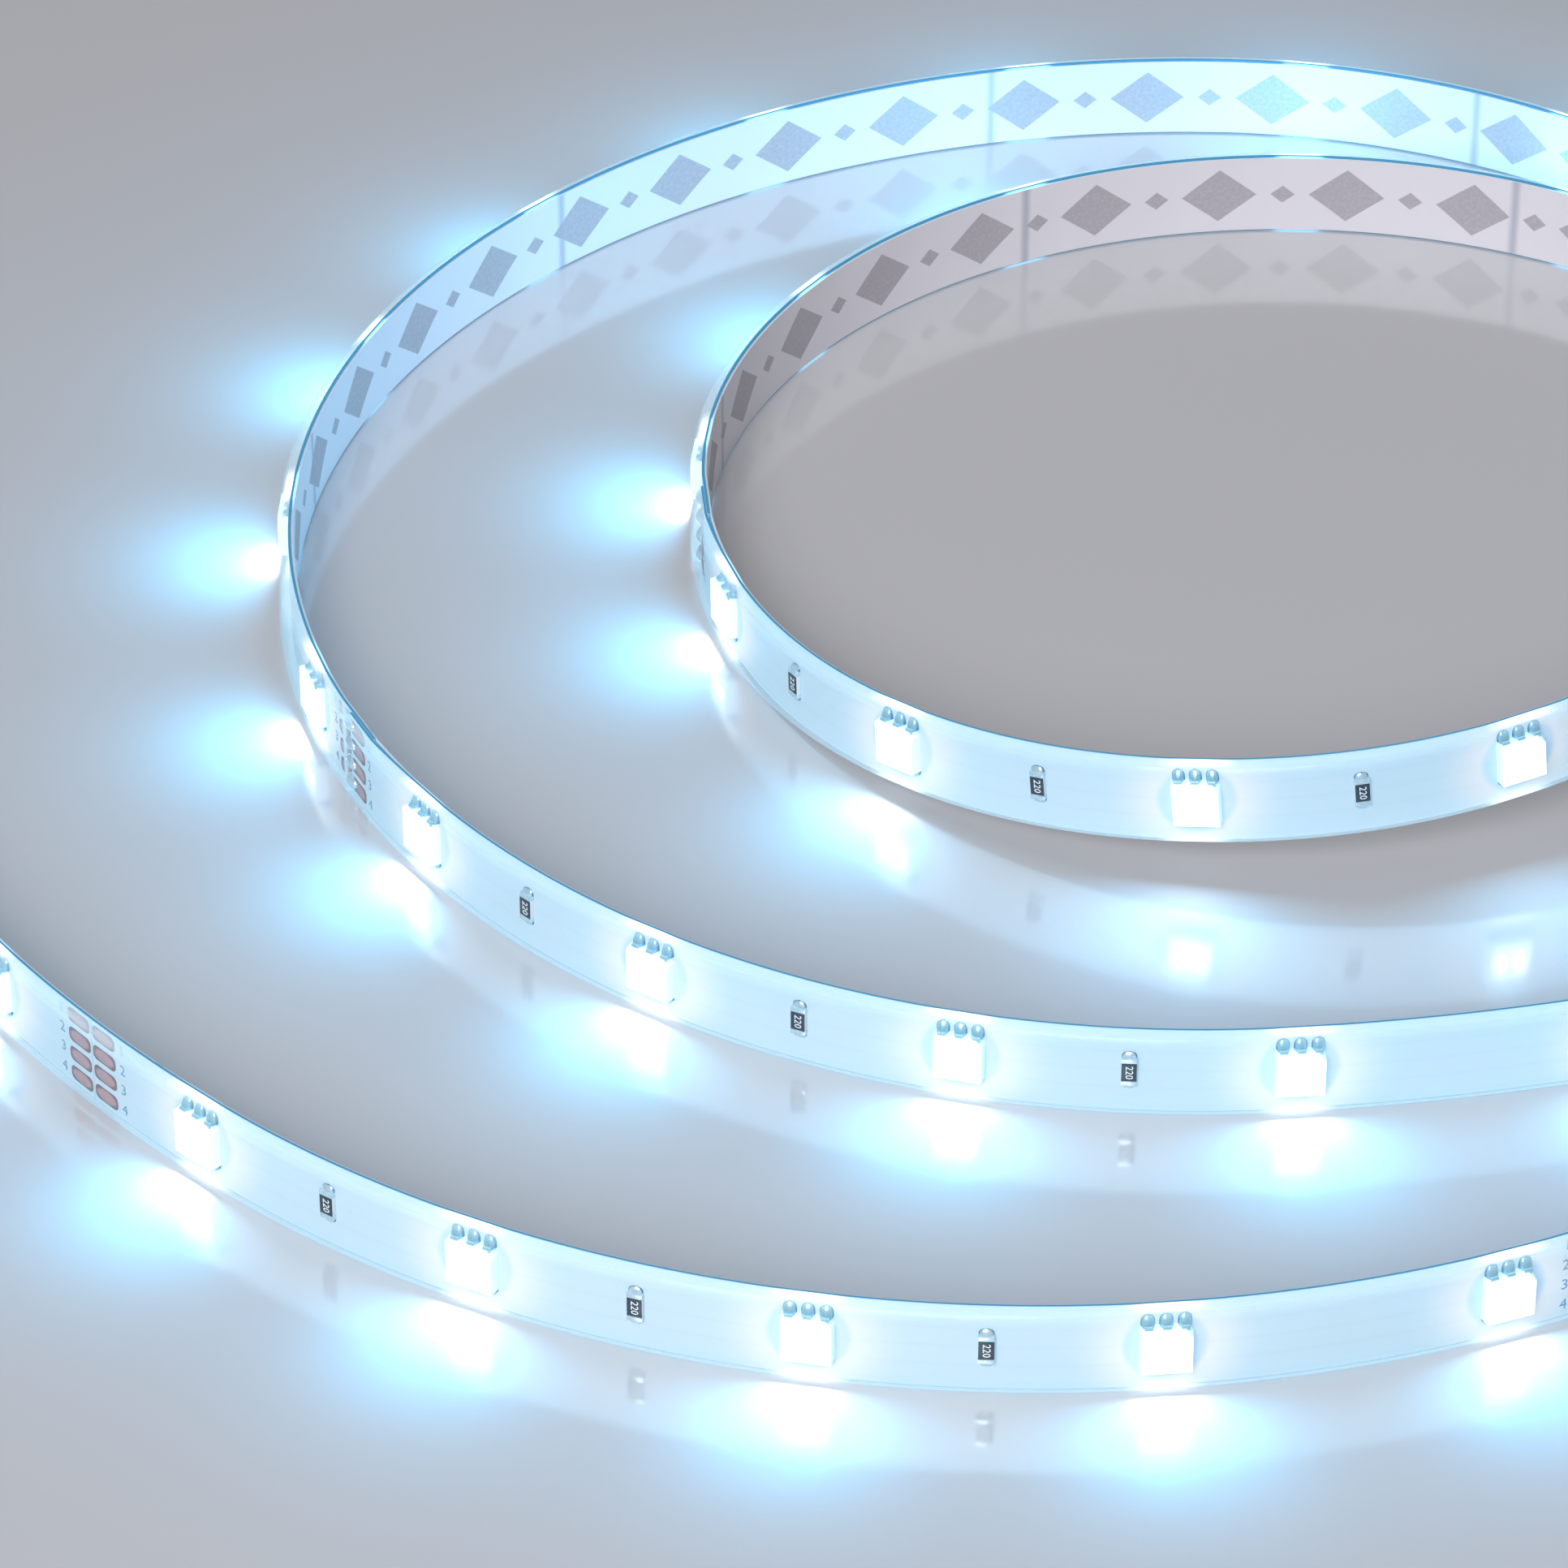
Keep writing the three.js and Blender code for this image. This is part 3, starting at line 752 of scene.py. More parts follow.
def dome_sweep_tree():
    """Sweeps a flat-topped dome: a rounded bar, stretched outward and cut off level at the board."""
    tree, add, inputs = start_sweep("dome_sweep", Shoulder="Float", Foot="Float")
    double = add("ShaderNodeMath", {0: inputs["Shoulder"], 1: 2}, operation="MULTIPLY")
    section = add(
        "GeometryNodeCurvePrimitiveQuadrilateral", {"Width": double, "Height": inputs["Width"]},
        mode="RECTANGLE")
    section = add(
        "GeometryNodeFilletCurve",
        {"Curve": section, "Radius": inputs["Shoulder"], "Count": 6, "Limit Radius": True}, mode="POLY")
    place = add("GeometryNodeInputPosition")
    parts = add("ShaderNodeSeparateXYZ", {"Vector": place}, pick=None)
    stretch = add("ShaderNodeMath", {0: inputs["Thickness"], 1: inputs["Shoulder"]}, operation="DIVIDE")
    out = add("ShaderNodeMath", {0: parts["X"], 1: stretch}, operation="MULTIPLY")
    foot = add("ShaderNodeMath", {0: inputs["Foot"], 1: -1}, operation="MULTIPLY")
    out = add("ShaderNodeMath", {0: out, 1: foot}, operation="MAXIMUM")
    domed = add("ShaderNodeCombineXYZ", {"X": out, "Y": parts["Y"]})
    section = add("GeometryNodeSetPosition", {"Geometry": section, "Position": domed})
    return close_sweep(tree, add, inputs, section, inputs["Back"])


def row_on_seats_tree():
    """Sets a short row of one modelled piece on every seat, turned to the seat."""
    tree, add, sizes = start_tree(
        "row_on_seats", "Pieces", Seats="Geometry", Piece="Object", Count="Int", Step="Vector",
        Finish="Material")
    gaps = add("ShaderNodeMath", {0: sizes["Count"], 1: 1}, operation="SUBTRACT")
    back = add("ShaderNodeMath", {0: gaps, 1: -0.5}, operation="MULTIPLY")
    first = add("ShaderNodeVectorMath", {0: sizes["Step"], "Scale": back}, operation="SCALE")
    row = add(
        "GeometryNodeMeshLine",
        {"Count": sizes["Count"], "Start Location": first, "Offset": sizes["Step"]}, mode="OFFSET",
        count_mode="TOTAL")
    piece = add(
        "GeometryNodeObjectInfo", {"Object": sizes["Piece"], "As Instance": True},
        transform_space="ORIGINAL", pick="Geometry")
    row = add("GeometryNodeInstanceOnPoints", {"Points": row, "Instance": piece})
    turn = add(
        "GeometryNodeInputNamedAttribute", {"Name": "turn"}, data_type="FLOAT_VECTOR", pick="Attribute")
    turn = add("FunctionNodeEulerToRotation", {"Euler": turn})
    rows = add(
        "GeometryNodeInstanceOnPoints", {"Points": sizes["Seats"], "Instance": row, "Rotation": turn})
    return close_tree(tree, add, sizes, rows, "Pieces")


def tree_named(name, build):
    return bpy.data.node_groups.get(name) or build()


def bake(name, source, tree, values):
    """Runs a node tree on a source object and keeps the result as a plain mesh."""
    bpy.context.scene.collection.objects.link(source)
    modifier = source.modifiers.new(tree.name, "NODES")
    modifier.node_group = tree
    for socket in tree.interface.items_tree:
        if socket.in_out == "INPUT" and socket.name in values:
            modifier[socket.identifier] = values[socket.name]
    depsgraph = bpy.context.evaluated_depsgraph_get()
    mesh = bpy.data.meshes.new_from_object(
        source.evaluated_get(depsgraph), preserve_all_data_layers=True, depsgraph=depsgraph)
    source.modifiers.clear()
    bpy.data.objects.remove(source)
    if not mesh.polygons:
        raise RuntimeError(f"{name} came out empty")
    piece = bpy.data.objects.new(name, mesh)
    bpy.context.scene.collection.objects.link(piece)
    return piece


def line_stops(start, end):
    """Lengths where the strip's line has a point: ends of flats, LED centres, short steps elsewhere."""
    fixed = {start, end, *(s for flat in FLATS for s in flat), *LED_CENTRES}
    fixed = sorted(s for s in fixed if start <= s <= end)
    stops = [start]
    for a, b in zip(fixed, fixed[1:]):
        on_flat = any(low < (a + b) / 2 < high for low, high in FLATS)
        steps = 1 if on_flat else max(1, round((b - a) / PATH_STEP))
        stops += [a + (b - a) * i / steps for i in range(1, steps + 1)]
    return stops


def strip_line(name, start, end, lift=lambda s: 0.0):
    """A flat line of points along the strip, each with its length along, its distance to the
    nearest LED and its climb."""
    lengths = line_stops(start, end)
    points = []
    climbs = []
    for s in lengths:
        point, normal, climb = line_at(s)
        points.append(point + normal * lift(s) + PLAN_SHIFT)
        climbs.append(climb)
    mesh = bpy.data.meshes.new(name)
    mesh.from_pydata(points, [(i, i + 1) for i in range(len(points) - 1)], [])
    for attribute_name, values in (
        ("along", [(s - start) / MM for s in lengths]),
        ("led_gap", [min(abs(s - led) for led in LED_CENTRES) / MM for s in lengths]),
        ("climb", climbs),
    ):
        mesh.attributes.new(attribute_name, "FLOAT", "POINT").data.foreach_set("value", values)
    return bpy.data.objects.new(name, mesh)


def sweep(name, line, back, thickness, margin, edge, finish):
    return bake(name, line, tree_named("flat_sweep", flat_sweep_tree), {
        "Back": back, "Thickness": thickness, "Lower edge": margin,
        "Width": BOARD_WIDTH - 2 * margin, "Edge radius": edge, "Finish": finish,
    })


def set_on_seats(name, seats, template, finish, count=1, step=(0, 0, 0)):
    """Copies a template piece onto every seat, in rows of count."""
    mesh = bpy.data.meshes.new(name)
    mesh.from_pydata([seat.translation + PLAN_SHIFT for seat in seats], [], [])
    turn = mesh.attributes.new("turn", "FLOAT_VECTOR", "POINT")
    turn.data.foreach_set("vector", [angle for seat in seats for angle in seat.to_euler()])
    bpy.context.scene.collection.objects.link(template)
    points = bpy.data.objects.new(name, mesh)
    piece = bake(name, points, tree_named("row_on_seats", row_on_seats_tree), {
        "Piece": template, "Count": count, "Step": step, "Finish": finish,
    })
    bpy.data.objects.remove(template)
    return piece


def finish_piece(piece, slot, *nodes):
    """Hands a finished piece to the frame."""
    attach(piece, "root")
    if nodes:
        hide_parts(*nodes)


def template_from(name, mesh_edit):
    """A modelled piece from one bmesh, its faces turned outward and shaded smooth by angle."""
    mesh = bpy.data.meshes.new(name)
    edit = bmesh.new()
    mesh_edit(edit)
    bmesh.ops.remove_doubles(edit, verts=edit.verts, dist=WELD_DISTANCE)
    bmesh.ops.recalc_face_normals(edit, faces=edit.faces)
    for face in edit.faces:
        face.smooth = True
    for edge in edit.edges:
        edge.smooth = len(edge.link_faces) == 2 and edge.calc_face_angle(0) < SMOOTH_ANGLE
    edit.to_mesh(mesh)
    edit.free()
    return bpy.data.objects.new(name, mesh)


def join_loops(edit, loops):
    """Faces between rings of equal count, with both end rings closed."""
    rings = [[edit.verts.new(point) for point in loop] for loop in loops]
    count = len(rings[0])
    for lower, upper in zip(rings, rings[1:]):
        for i in range(count):
            j = (i + 1) % count
            edit.faces.new((lower[i], lower[j], upper[j], upper[i]))
    edit.faces.new(rings[0])
    edit.faces.new(rings[-1])
    return rings


def ring_angles(step):
    return [math.radians(a) for a in range(0, 360, step)]


def square_ring(angles, half, cut, z):
    """Ring on a square's sides, its corner at +X +Y cut off by a flat."""
    ring = []
    for angle in angles:
        c, s = math.cos(angle), math.sin(angle)
        reach = half / max(abs(c), abs(s))
        if c > 0 and s > 0:
            reach = min(reach, (2 * half - cut) / (c + s))
        ring.append((reach * c, reach * s, z))
    return ring


def round_ring(angles, radius, z, stretch=1.0):
    return [(radius * math.cos(a) * stretch, radius * math.sin(a), z) for a in angles]


def housing_template(sizes):
    """Housing 5 mm square: drafted walls, small edge radius, one cut corner, a round cup."""
    half = LED_SIZE / 2
    flat = math.atan2(half - LED_CORNER, half)
    angles = sorted({flat, math.pi / 2 - flat} | set(ring_angles(15)))
    walls = (
        (half, 0.0, 0.0), (half, 0.0, 0.35 * MM), (half - 0.06 * MM, 0.02 * MM, LED_HEIGHT - 0.14 * MM),
        (half - 0.10 * MM, 0.05 * MM, LED_HEIGHT - 0.05 * MM),
        (half - 0.20 * MM, 0.09 * MM, LED_HEIGHT),
    )
    cup = ((sizes.window_radius, LED_HEIGHT), (sizes.window_radius - 0.05 * MM, LED_HEIGHT - 0.05 * MM),
           (sizes.window_radius - 0.30 * MM, LED_HEIGHT - 0.45 * MM))

    def shape(edit):
        lit = edit.verts.layers.float.new("lit")
        loops = [square_ring(angles, size, LED_CORNER + cut, z) for size, cut, z in walls]
        loops += [round_ring(angles, radius, z) for radius, z in cup]
        rings = join_loops(edit, loops)
        for ring, level in zip(rings, (0.0, 0.0, 0.08, 0.3, 1.0, 1.0, 1.0, 1.0)):
            for vert in ring:
                vert[lit] = level

    return template_from("housing_template", shape)


def map_flat(edit, name, half_x, half_y):
    """Lays a UV map over the faces as seen from above."""
    flat = edit.loops.layers.uv.new(name)
    for face in edit.faces:
        for loop in face.loops:
            loop[flat].uv = (loop.vert.co.x / half_x / 2 + 0.5, loop.vert.co.y / half_y / 2 + 0.5)


def window_template(sizes):
    """Silicone fill of the cup, with a shallow dished face."""
    angles = ring_angles(20)
    radius = sizes.window_radius
    face = LED_HEIGHT - 0.07 * MM
    loops = [
        round_ring(angles, radius - 0.28 * MM, LED_HEIGHT - 0.44 * MM),
        round_ring(angles, radius - 0.07 * MM, face),
        round_ring(angles, radius * 0.55, face - 0.04 * MM),
    ]

    def shape(edit):
        join_loops(edit, loops)
        map_flat(edit, "window", radius, radius)

    return template_from("window_template", shape)


def die_template(sizes):
    """Lit die: a low round cap that stands just out of the window's face."""
    angles = ring_angles(30)
    radius = sizes.die_radius
    face = LED_HEIGHT - 0.11 * MM
    loops = [round_ring(angles, radius, face - 0.03 * MM), round_ring(angles, radius, face + 0.02 * MM),
             round_ring(angles, radius * 0.6, face + 0.05 * MM)]
    return template_from("die_template", lambda edit: join_loops(edit, loops))


def hump(edit, root_y, width, reach, height, sign):
    """Solder that runs down from a wall at root_y to a rounded toe, its rim marked."""
    rim_mark = edit.verts.layers.float.get("rim")
    rows, columns, toe_start, sliver = 6, 8, 0.35, 1e-6
    grid = []
    for i in range(rows + 1):
        t = i / rows
        toe = max(0.0, (t - toe_start) / (1 - toe_start))
        half = width / 2 * math.sqrt(max(0.0, 1 - toe * toe)) + sliver
        crest = height * ((1 - t) ** 1.3 * 0.5 + 0.5 * math.sqrt(max(0.0, 1 - t * t)))
        row = []
        for j in range(columns + 1):
            v = -1 + 2 * j / columns
            z = crest * math.sqrt(max(0.0, 1 - v * v)) ** 0.8
            row.append(edit.verts.new((v * half, root_y + sign * reach * t, z)))
            row[-1][rim_mark] = 1.0 if abs(v) == 1 or i == rows else 0.0
        grid.append(row)
    for i in range(rows):
        for j in range(columns):
            edit.faces.new((grid[i][j], grid[i][j + 1], grid[i + 1][j + 1], grid[i + 1][j]))
    rim = grid[0] + [row[-1] for row in grid[1:]] + list(reversed(grid[-1][:-1]))
    rim += [row[0] for row in reversed(grid[1:-1])]
    base = [edit.verts.new((vert.co.x, vert.co.y, 0)) for vert in rim]
    for vert in base:
        vert[rim_mark] = 1.0
    # The rim already lies on the board except along the wall
    count = len(rim)
    for i in range(count):
        j = (i + 1) % count
        if max(rim[i].co.z, rim[j].co.z) >= TOUCHING:
            edit.faces.new((rim[i], base[i], base[j], rim[j]))
    edit.faces.new(base)


def lead_solder_template():
    """Solder on one upper and one lower lead of an LED."""
    wall = LED_SIZE / 2 - 0.02 * MM

    def shape(edit):
        edit.verts.layers.float.new("rim")
        hump(edit, wall, width=1.36 * MM, reach=1.35 * MM, height=0.8 * MM, sign=1)
        hump(edit, -wall, width=1.36 * MM, reach=0.8 * MM, height=0.4 * MM, sign=-1)

    return template_from("lead_solder_template", shape)


def bent_strap(edit, side, line, width, thickness):
    """A flat strap bent along a line of (y, z) points."""
    corners = ((-1, 1), (1, 1), (1, -1), (-1, -1))
    rings = []
    for i, (y, z) in enumerate(line):
        before = Vector(line[max(0, i - 1)])
        after = Vector(line[min(len(line) - 1, i + 1)])
        along = (after - before).normalized()
        normal = Vector((-along.y, along.x)) * thickness / 2
        rings.append([
            (across * width / 2, side * (y + face * normal.x), z + face * normal.y)
            for across, face in corners
        ])
    join_loops(edit, rings)


def lead_template():
    """One upper and one lower lead: out of the wall, down, and out along the board."""
    half = LED_SIZE / 2 / MM
    line = [
        (half - 0.25, 0.86), (half + 0.05, 0.86), (half + 0.16, 0.80), (half + 0.20, 0.68),
        (half + 0.20, 0.30), (half + 0.26, 0.16), (half + 0.42, 0.11), (half + 0.75, 0.11),
    ]
    points = [(y * MM, z * MM) for y, z in line]

    def shape(edit):
        for side in (1, -1):
            bent_strap(edit, side, points, width=0.78 * MM, thickness=0.15 * MM)

    return template_from("lead_template", shape)


def block(edit, low, high, edge):
    """Box with its edges bevelled once."""
    made = bmesh.ops.create_cube(edit, size=1)["verts"]
    size = [h - l for l, h in zip(low, high)]
    for vert in made:
        vert.co = Vector([l + (c + 0.5) * s for l, c, s in zip(low, vert.co, size)])
    edges = list({e for vert in made for e in vert.link_edges})
    bmesh.ops.bevel(edit, geom=edges, offset=edge, segments=2, profile=0.6, affect="EDGES")


def chip_template():
    """Resistor body: a thin alumina chip."""
    low, high = (-0.78 * MM, -1.55 * MM, 0.03 * MM), (0.78 * MM, 1.55 * MM, 0.50 * MM)
    return template_from("chip_template", lambda edit: block(edit, low, high, edge=0.03 * MM))


def glaze_template():
    """Glaze over the middle of the chip's face."""
    low, high = (-0.755 * MM, -1.06 * MM, 0.48 * MM), (0.755 * MM, 1.06 * MM, 0.55 * MM)
    return template_from("glaze_template", lambda edit: block(edit, low, high, edge=0.025 * MM))


def cap_template():
    """Tinned caps round both ends of the chip, with solder run up to them."""
    def shape(edit):
        edit.verts.layers.float.new("rim")
        for side in (1, -1):
            low, high = sorted((side * 1.1 * MM, side * 1.62 * MM))
            block(edit, (-0.80 * MM, low, 0.01 * MM), (0.80 * MM, high, 0.56 * MM), edge=0.06 * MM)
            hump(edit, side * 1.4 * MM, width=1.5 * MM, reach=0.9 * MM, height=0.5 * MM, sign=side)

    return template_from("cap_template", shape)


def mound_template():
    """Hand-soldered mound: longer along the strip, its crest toward one end."""
    radius, height, stretch, lean = 0.75 * MM, 0.85 * MM, 1.73, 0.22 * MM
    rings, tilt = 6, math.radians(16.5)
    angles = ring_angles(24)
    loops = []
    for i in range(rings):
        t = i * tilt
        ring = round_ring(angles, radius * math.cos(t), height * math.sin(t), stretch)
        loops.append([(x + lean * math.sin(t), y, z) for x, y, z in ring])

    def shape(edit):
        rim = edit.verts.layers.float.new("rim")
        for vert in join_loops(edit, loops)[0]:
            vert[rim] = 1.0

    return template_from("mound_template", shape)


def pad_template(sizes):
    """Solder pad: a plate with well rounded corners."""
    long, wide = sizes.pad_length / 2, sizes.pad_width / 2
    corner = 0.62 * MM
    outline = []
    for cx, cy, start in ((1, 1, 0), (-1, 1, 90), (-1, -1, 180), (1, -1, 270)):
        for step in range(5):
            a = math.radians(start + step * 22.5)
            outline.append((cx * (long - corner) + corner * math.cos(a),
                            cy * (wide - corner) + corner * math.sin(a)))
    top = 0.03 * MM
    inset = 1 - 0.02 * MM / wide
    loops = [
        [(x, y, -0.03 * MM) for x, y in outline], [(x, y, top * 0.6) for x, y in outline],
        [(x * inset, y * inset, top) for x, y in outline],
    ]

    def shape(edit):
        join_loops(edit, loops)
        map_flat(edit, "pad", long, wide)

    return template_from("pad_template", shape)


def glyph_mesh(text, height, thickness):
    """Plain figures as a closed flat mesh, centred on its own middle."""
    curve = bpy.data.curves.new("glyphs", "FONT")
    curve.body = text
    curve.size = height / CAPITAL_SHARE
    curve.extrude = thickness / 2
    curve.resolution_u = 2
    curve.align_x = "CENTER"
    curve.align_y = "CENTER"
    holder = bpy.data.objects.new("glyphs", curve)
    bpy.context.scene.collection.objects.link(holder)
    depsgraph = bpy.context.evaluated_depsgraph_get()
    mesh = bpy.data.meshes.new_from_object(holder.evaluated_get(depsgraph))
    bpy.data.objects.remove(holder)
    return mesh


def code_template():
    """Plain resistor value, read along the chip."""
    mesh = glyph_mesh("220", 0.78 * MM, PRINT_THICKNESS)
    mesh.transform(Matrix.Translation((0, 0, 0.555 * MM)) @ Matrix.Rotation(math.radians(-90), 4, "Z"))
    return template_from("code_template", lambda edit: edit.from_mesh(mesh))


def numeral_template(sizes):
    """Numbers 1 to 4 beside one column of pads, counted from the top."""
    meshes = []
    for row in range(sizes.pad_rows):
        mesh = glyph_mesh(str(row + 1), sizes.numeral_height, PRINT_THICKNESS)
        rise = ((sizes.pad_rows - 1) / 2 - row) * sizes.pad_pitch
        mesh.transform(Matrix.Translation((0, rise, 0.01 * MM)))
        meshes.append(mesh)

    def shape(edit):
        for mesh in meshes:
            edit.from_mesh(mesh)

    return template_from("numeral_template", shape)


def led_seats():
    return [seat_at(s, LED_SEAT_LENGTH / 2, BOARD_FRONT + SOLDER_FILM) for s in LED_CENTRES]


def pad_columns(reach, gap):
    """Seats for the pad columns: both sides of each cut line and splice, and the strip's two ends."""
    half = reach + gap / 2
    seats = []
    for s in CUT_LINES:
        seats += [seat_at(s - half, reach, BOARD_FRONT), seat_at(s + half, reach, BOARD_FRONT)]
    for s in SPLICES:
        lap = BOARD_THICKNESS
        seats += [seat_at(s - half, reach, BOARD_FRONT), seat_at(s + half, reach, BOARD_FRONT + lap)]
    seats += [seat_at(half, reach, BOARD_FRONT), seat_at(STRIP_LENGTH - half, reach, BOARD_FRONT)]
    return seats


def numeral_columns(away):
    """Seats for the numbers, one on the outer side of each pad column."""
    places = [(s + side * away, 0.0) for s in CUT_LINES for side in (-1, 1)]
    places += [(s - away, 0.0) for s in SPLICES] + [(s + away, BOARD_THICKNESS) for s in SPLICES]
    places += [(away, 0.0), (STRIP_LENGTH - away, 0.0)]
    return [seat_at(s, 0.5 * MM, BOARD_FRONT + lift) for s, lift in places]


class STRIP_COIL_OT_stage(bpy.types.Operator):
    """Floor, lamps, world and camera"""

    bl_idname = "strip_coil.stage"
    bl_label = "Set the stage"

    def execute(self, context):
        stage = context.scene.strip_stage
        scene = context.scene
        scene.view_settings.view_transform = "Standard"
        world = bpy.data.worlds.new("studio")
        world.use_nodes = True
        world.node_tree.nodes.clear()
        background = add_node(
            world.node_tree, "ShaderNodeBackground",
            {"Color": (*linear("#f4f5fa"), 1), "Strength": stage.world})
        add_node(world.node_tree, "ShaderNodeOutputWorld", {"Surface": background})
        scene.world = world
        # The sheet's round edge lies far outside the view
        mesh = bpy.data.meshes.new("floor")
        edit = bmesh.new()
        ring = round_ring(ring_angles(6), FLOOR_RADIUS, -FLOOR_DROP)
        edit.faces.new([edit.verts.new((x, y + FLOOR_SHIFT, z)) for x, y, z in ring])
        edit.to_mesh(mesh)
        edit.free()
        floor = bpy.data.objects.new("floor", mesh)
        mesh.materials.append(glossy_floor(stage))
        scene.collection.objects.link(floor)
        for name, power, place, size in (
            ("overhead_softbox", stage.key, (-0.1, 0.25, 1.6), 1.5),
            ("fill_softbox", stage.fill, (-0.3, -1.08, 0.78), 0.7),
        ):
            light = bpy.data.lights.new(name, "AREA")
            light.energy = power
            light.size = size
            light.color = linear("#fbfbff")
            lamp = bpy.data.objects.new(name, light)
            lamp.location = place
            lamp.rotation_euler = Vector(place).to_track_quat("Z", "Y").to_euler()
            scene.collection.objects.link(lamp)
        data = bpy.data.cameras.new("camera")
        data.sensor_width = 36
        data.lens = stage.lens
        data.clip_start = 0.01
        camera = bpy.data.objects.new("camera", data)
        camera.location = PLAN_SHIFT + Vector(stage.camera_place)
        camera.rotation_euler = (math.pi / 2 - stage.camera_pitch, 0, 0)
        scene.collection.objects.link(camera)
        scene.camera = camera
        return {"FINISHED"}


def set_lamps(name, light, seats, place):
    """Copies of one lamp, each at a place on its seat; the eye and the floor's gloss see the LED's
    window and dies, not the lamp."""
    for number, seat in enumerate(seats, 1):
        lamp = bpy.data.objects.new(f"{name}_{number:02d}", light)
        lamp.matrix_world = Matrix.Translation(PLAN_SHIFT) @ seat @ place
        lamp.visible_camera = False
        lamp.visible_glossy = False
        bpy.context.scene.collection.objects.link(lamp)


class STRIP_COIL_OT_throw(bpy.types.Operator):
    """Light of each LED, from high up on its face and from the silicone's lower shoulder"""

    bl_idname = "strip_coil.throw"
    bl_label = "Light the LEDs"

    def execute(self, context):
        stage = context.scene.strip_stage
        outward = Matrix.Rotation(math.pi, 4, "X")
        window = bpy.data.lights.new("window_light", "AREA")
        window.shape = "DISK"
        window.size = 2 * context.scene.strip_sizes.window_radius
        window.energy = stage.throw
        window.color = context.scene.strip_finishes.glow
        high = Matrix.Translation((0, BOARD_WIDTH / 4, COAT_HEIGHT))
        set_lamps("window_light", window, led_seats(), high @ outward)
        spill = bpy.data.lights.new("coat_light", "AREA")
        spill.shape = "RECTANGLE"
        spill.size = LED_SIZE
        spill.size_y = COAT_SHOULDER / 2
        spill.energy = stage.spill
        spill.color = SPILL_COLOUR
        low = Matrix.Translation((0, COAT_SHOULDER - BOARD_WIDTH / 2, COAT_HEIGHT))
        set_lamps("coat_light", spill, led_seats(), low @ outward)
        return {"FINISHED"}


class STRIP_COIL_OT_boards(bpy.types.Operator):
    """White flexible boards, each later one lapping over the end of the one before"""

    bl_idname = "strip_coil.boards"
    bl_label = "Lay the boards"

    def execute(self, context):
        finish = solder_mask(context.scene.strip_finishes)
        edge = context.scene.strip_sizes.board_edge
        for number, board in enumerate(BOARDS, 1):
            def lap(s, board=board):
                past = max(0.0, s - board["start"] - SPLICE_LAP)
                return BOARD_THICKNESS * max(0.0, 1 - past / SPLICE_RAMP) if board["laps"] else 0.0

            line = strip_line(f"board_line_{number}", board["start"], board["end"], lap)
            piece = sweep(f"board_{number}", line, BOARD_BACK, BOARD_THICKNESS, 0.0, edge, finish)
            finish_piece(piece, "board_white", f"flex_board_{number}")
        return {"FINISHED"}


class STRIP_COIL_OT_coat(bpy.types.Operator):
    """Clear silicone over the boards, in one length for each board"""

    bl_idname = "strip_coil.coat"
    bl_label = "Run the silicone"

    def execute(self, context):
        sizes = context.scene.strip_sizes
        finish = clear_silicone(context.scene.strip_finishes)
        ends = [board["start"] for board in BOARDS[1:]] + [STRIP_LENGTH]
        for number, (board, end) in enumerate(zip(BOARDS, ends), 1):
            line = strip_line(f"coat_line_{number}", board["start"], end)
            coat = bake(f"coat_{number}", line, tree_named("dome_sweep", dome_sweep_tree), {
                "Back": BOARD_FRONT, "Thickness": COAT_HEIGHT - sizes.coat_sink, "Width": BOARD_WIDTH,
                "Shoulder": COAT_SHOULDER, "Foot": sizes.coat_foot, "Finish": finish,
            })
            finish_piece(coat, "coat_silicone", f"silicone_coat_{number}")
        return {"FINISHED"}


class STRIP_COIL_OT_backing(bpy.types.Operator):
    """Adhesive tape and printed release liner on the back of the boards"""

    bl_idname = "strip_coil.backing"
    bl_label = "Lay tape and liner"

    def execute(self, context):
        finishes = context.scene.strip_finishes
        for name, back, thickness, edge, finish, slot, node in (
            ("tape", LINER_THICKNESS, TAPE_THICKNESS, 0.04 * MM, acrylic_tape(finishes),
             "tape_acrylic", "adhesive_tape"),
            ("liner", 0.0, LINER_THICKNESS, 0.02 * MM, release_paper(finishes),
             "liner_paper", "release_liner"),
        ):
            line = strip_line(f"{name}_line", 0.0, STRIP_LENGTH)
            finish_piece(sweep(name, line, back, thickness, TAPE_MARGIN, edge, finish), slot, node)
        return {"FINISHED"}


class STRIP_COIL_OT_leds(bpy.types.Operator):
    """LED housings with their silicone windows"""

    bl_idname = "strip_coil.leds"
    bl_label = "Seat the LEDs"

    def execute(self, context):
        sizes = context.scene.strip_sizes
        finishes = context.scene.strip_finishes
        nodes = [f"led_{number:02d}" for number in range(1, len(LED_CENTRES) + 1)]
        housings = set_on_seats(
            "led_housings", led_seats(), housing_template(sizes), moulded_housing(finishes))
        finish_piece(housings, "led_package", *nodes)
        windows = set_on_seats("led_windows", led_seats(), window_template(sizes), lit_silicone())
        finish_piece(windows, "led_package")
        step = (sizes.die_pitch, 0, 0)
        dies = set_on_seats("led_dies", led_seats(), die_template(sizes), lit_die(), 2, step)
        finish_piece(dies, "led_package")
        return {"FINISHED"}


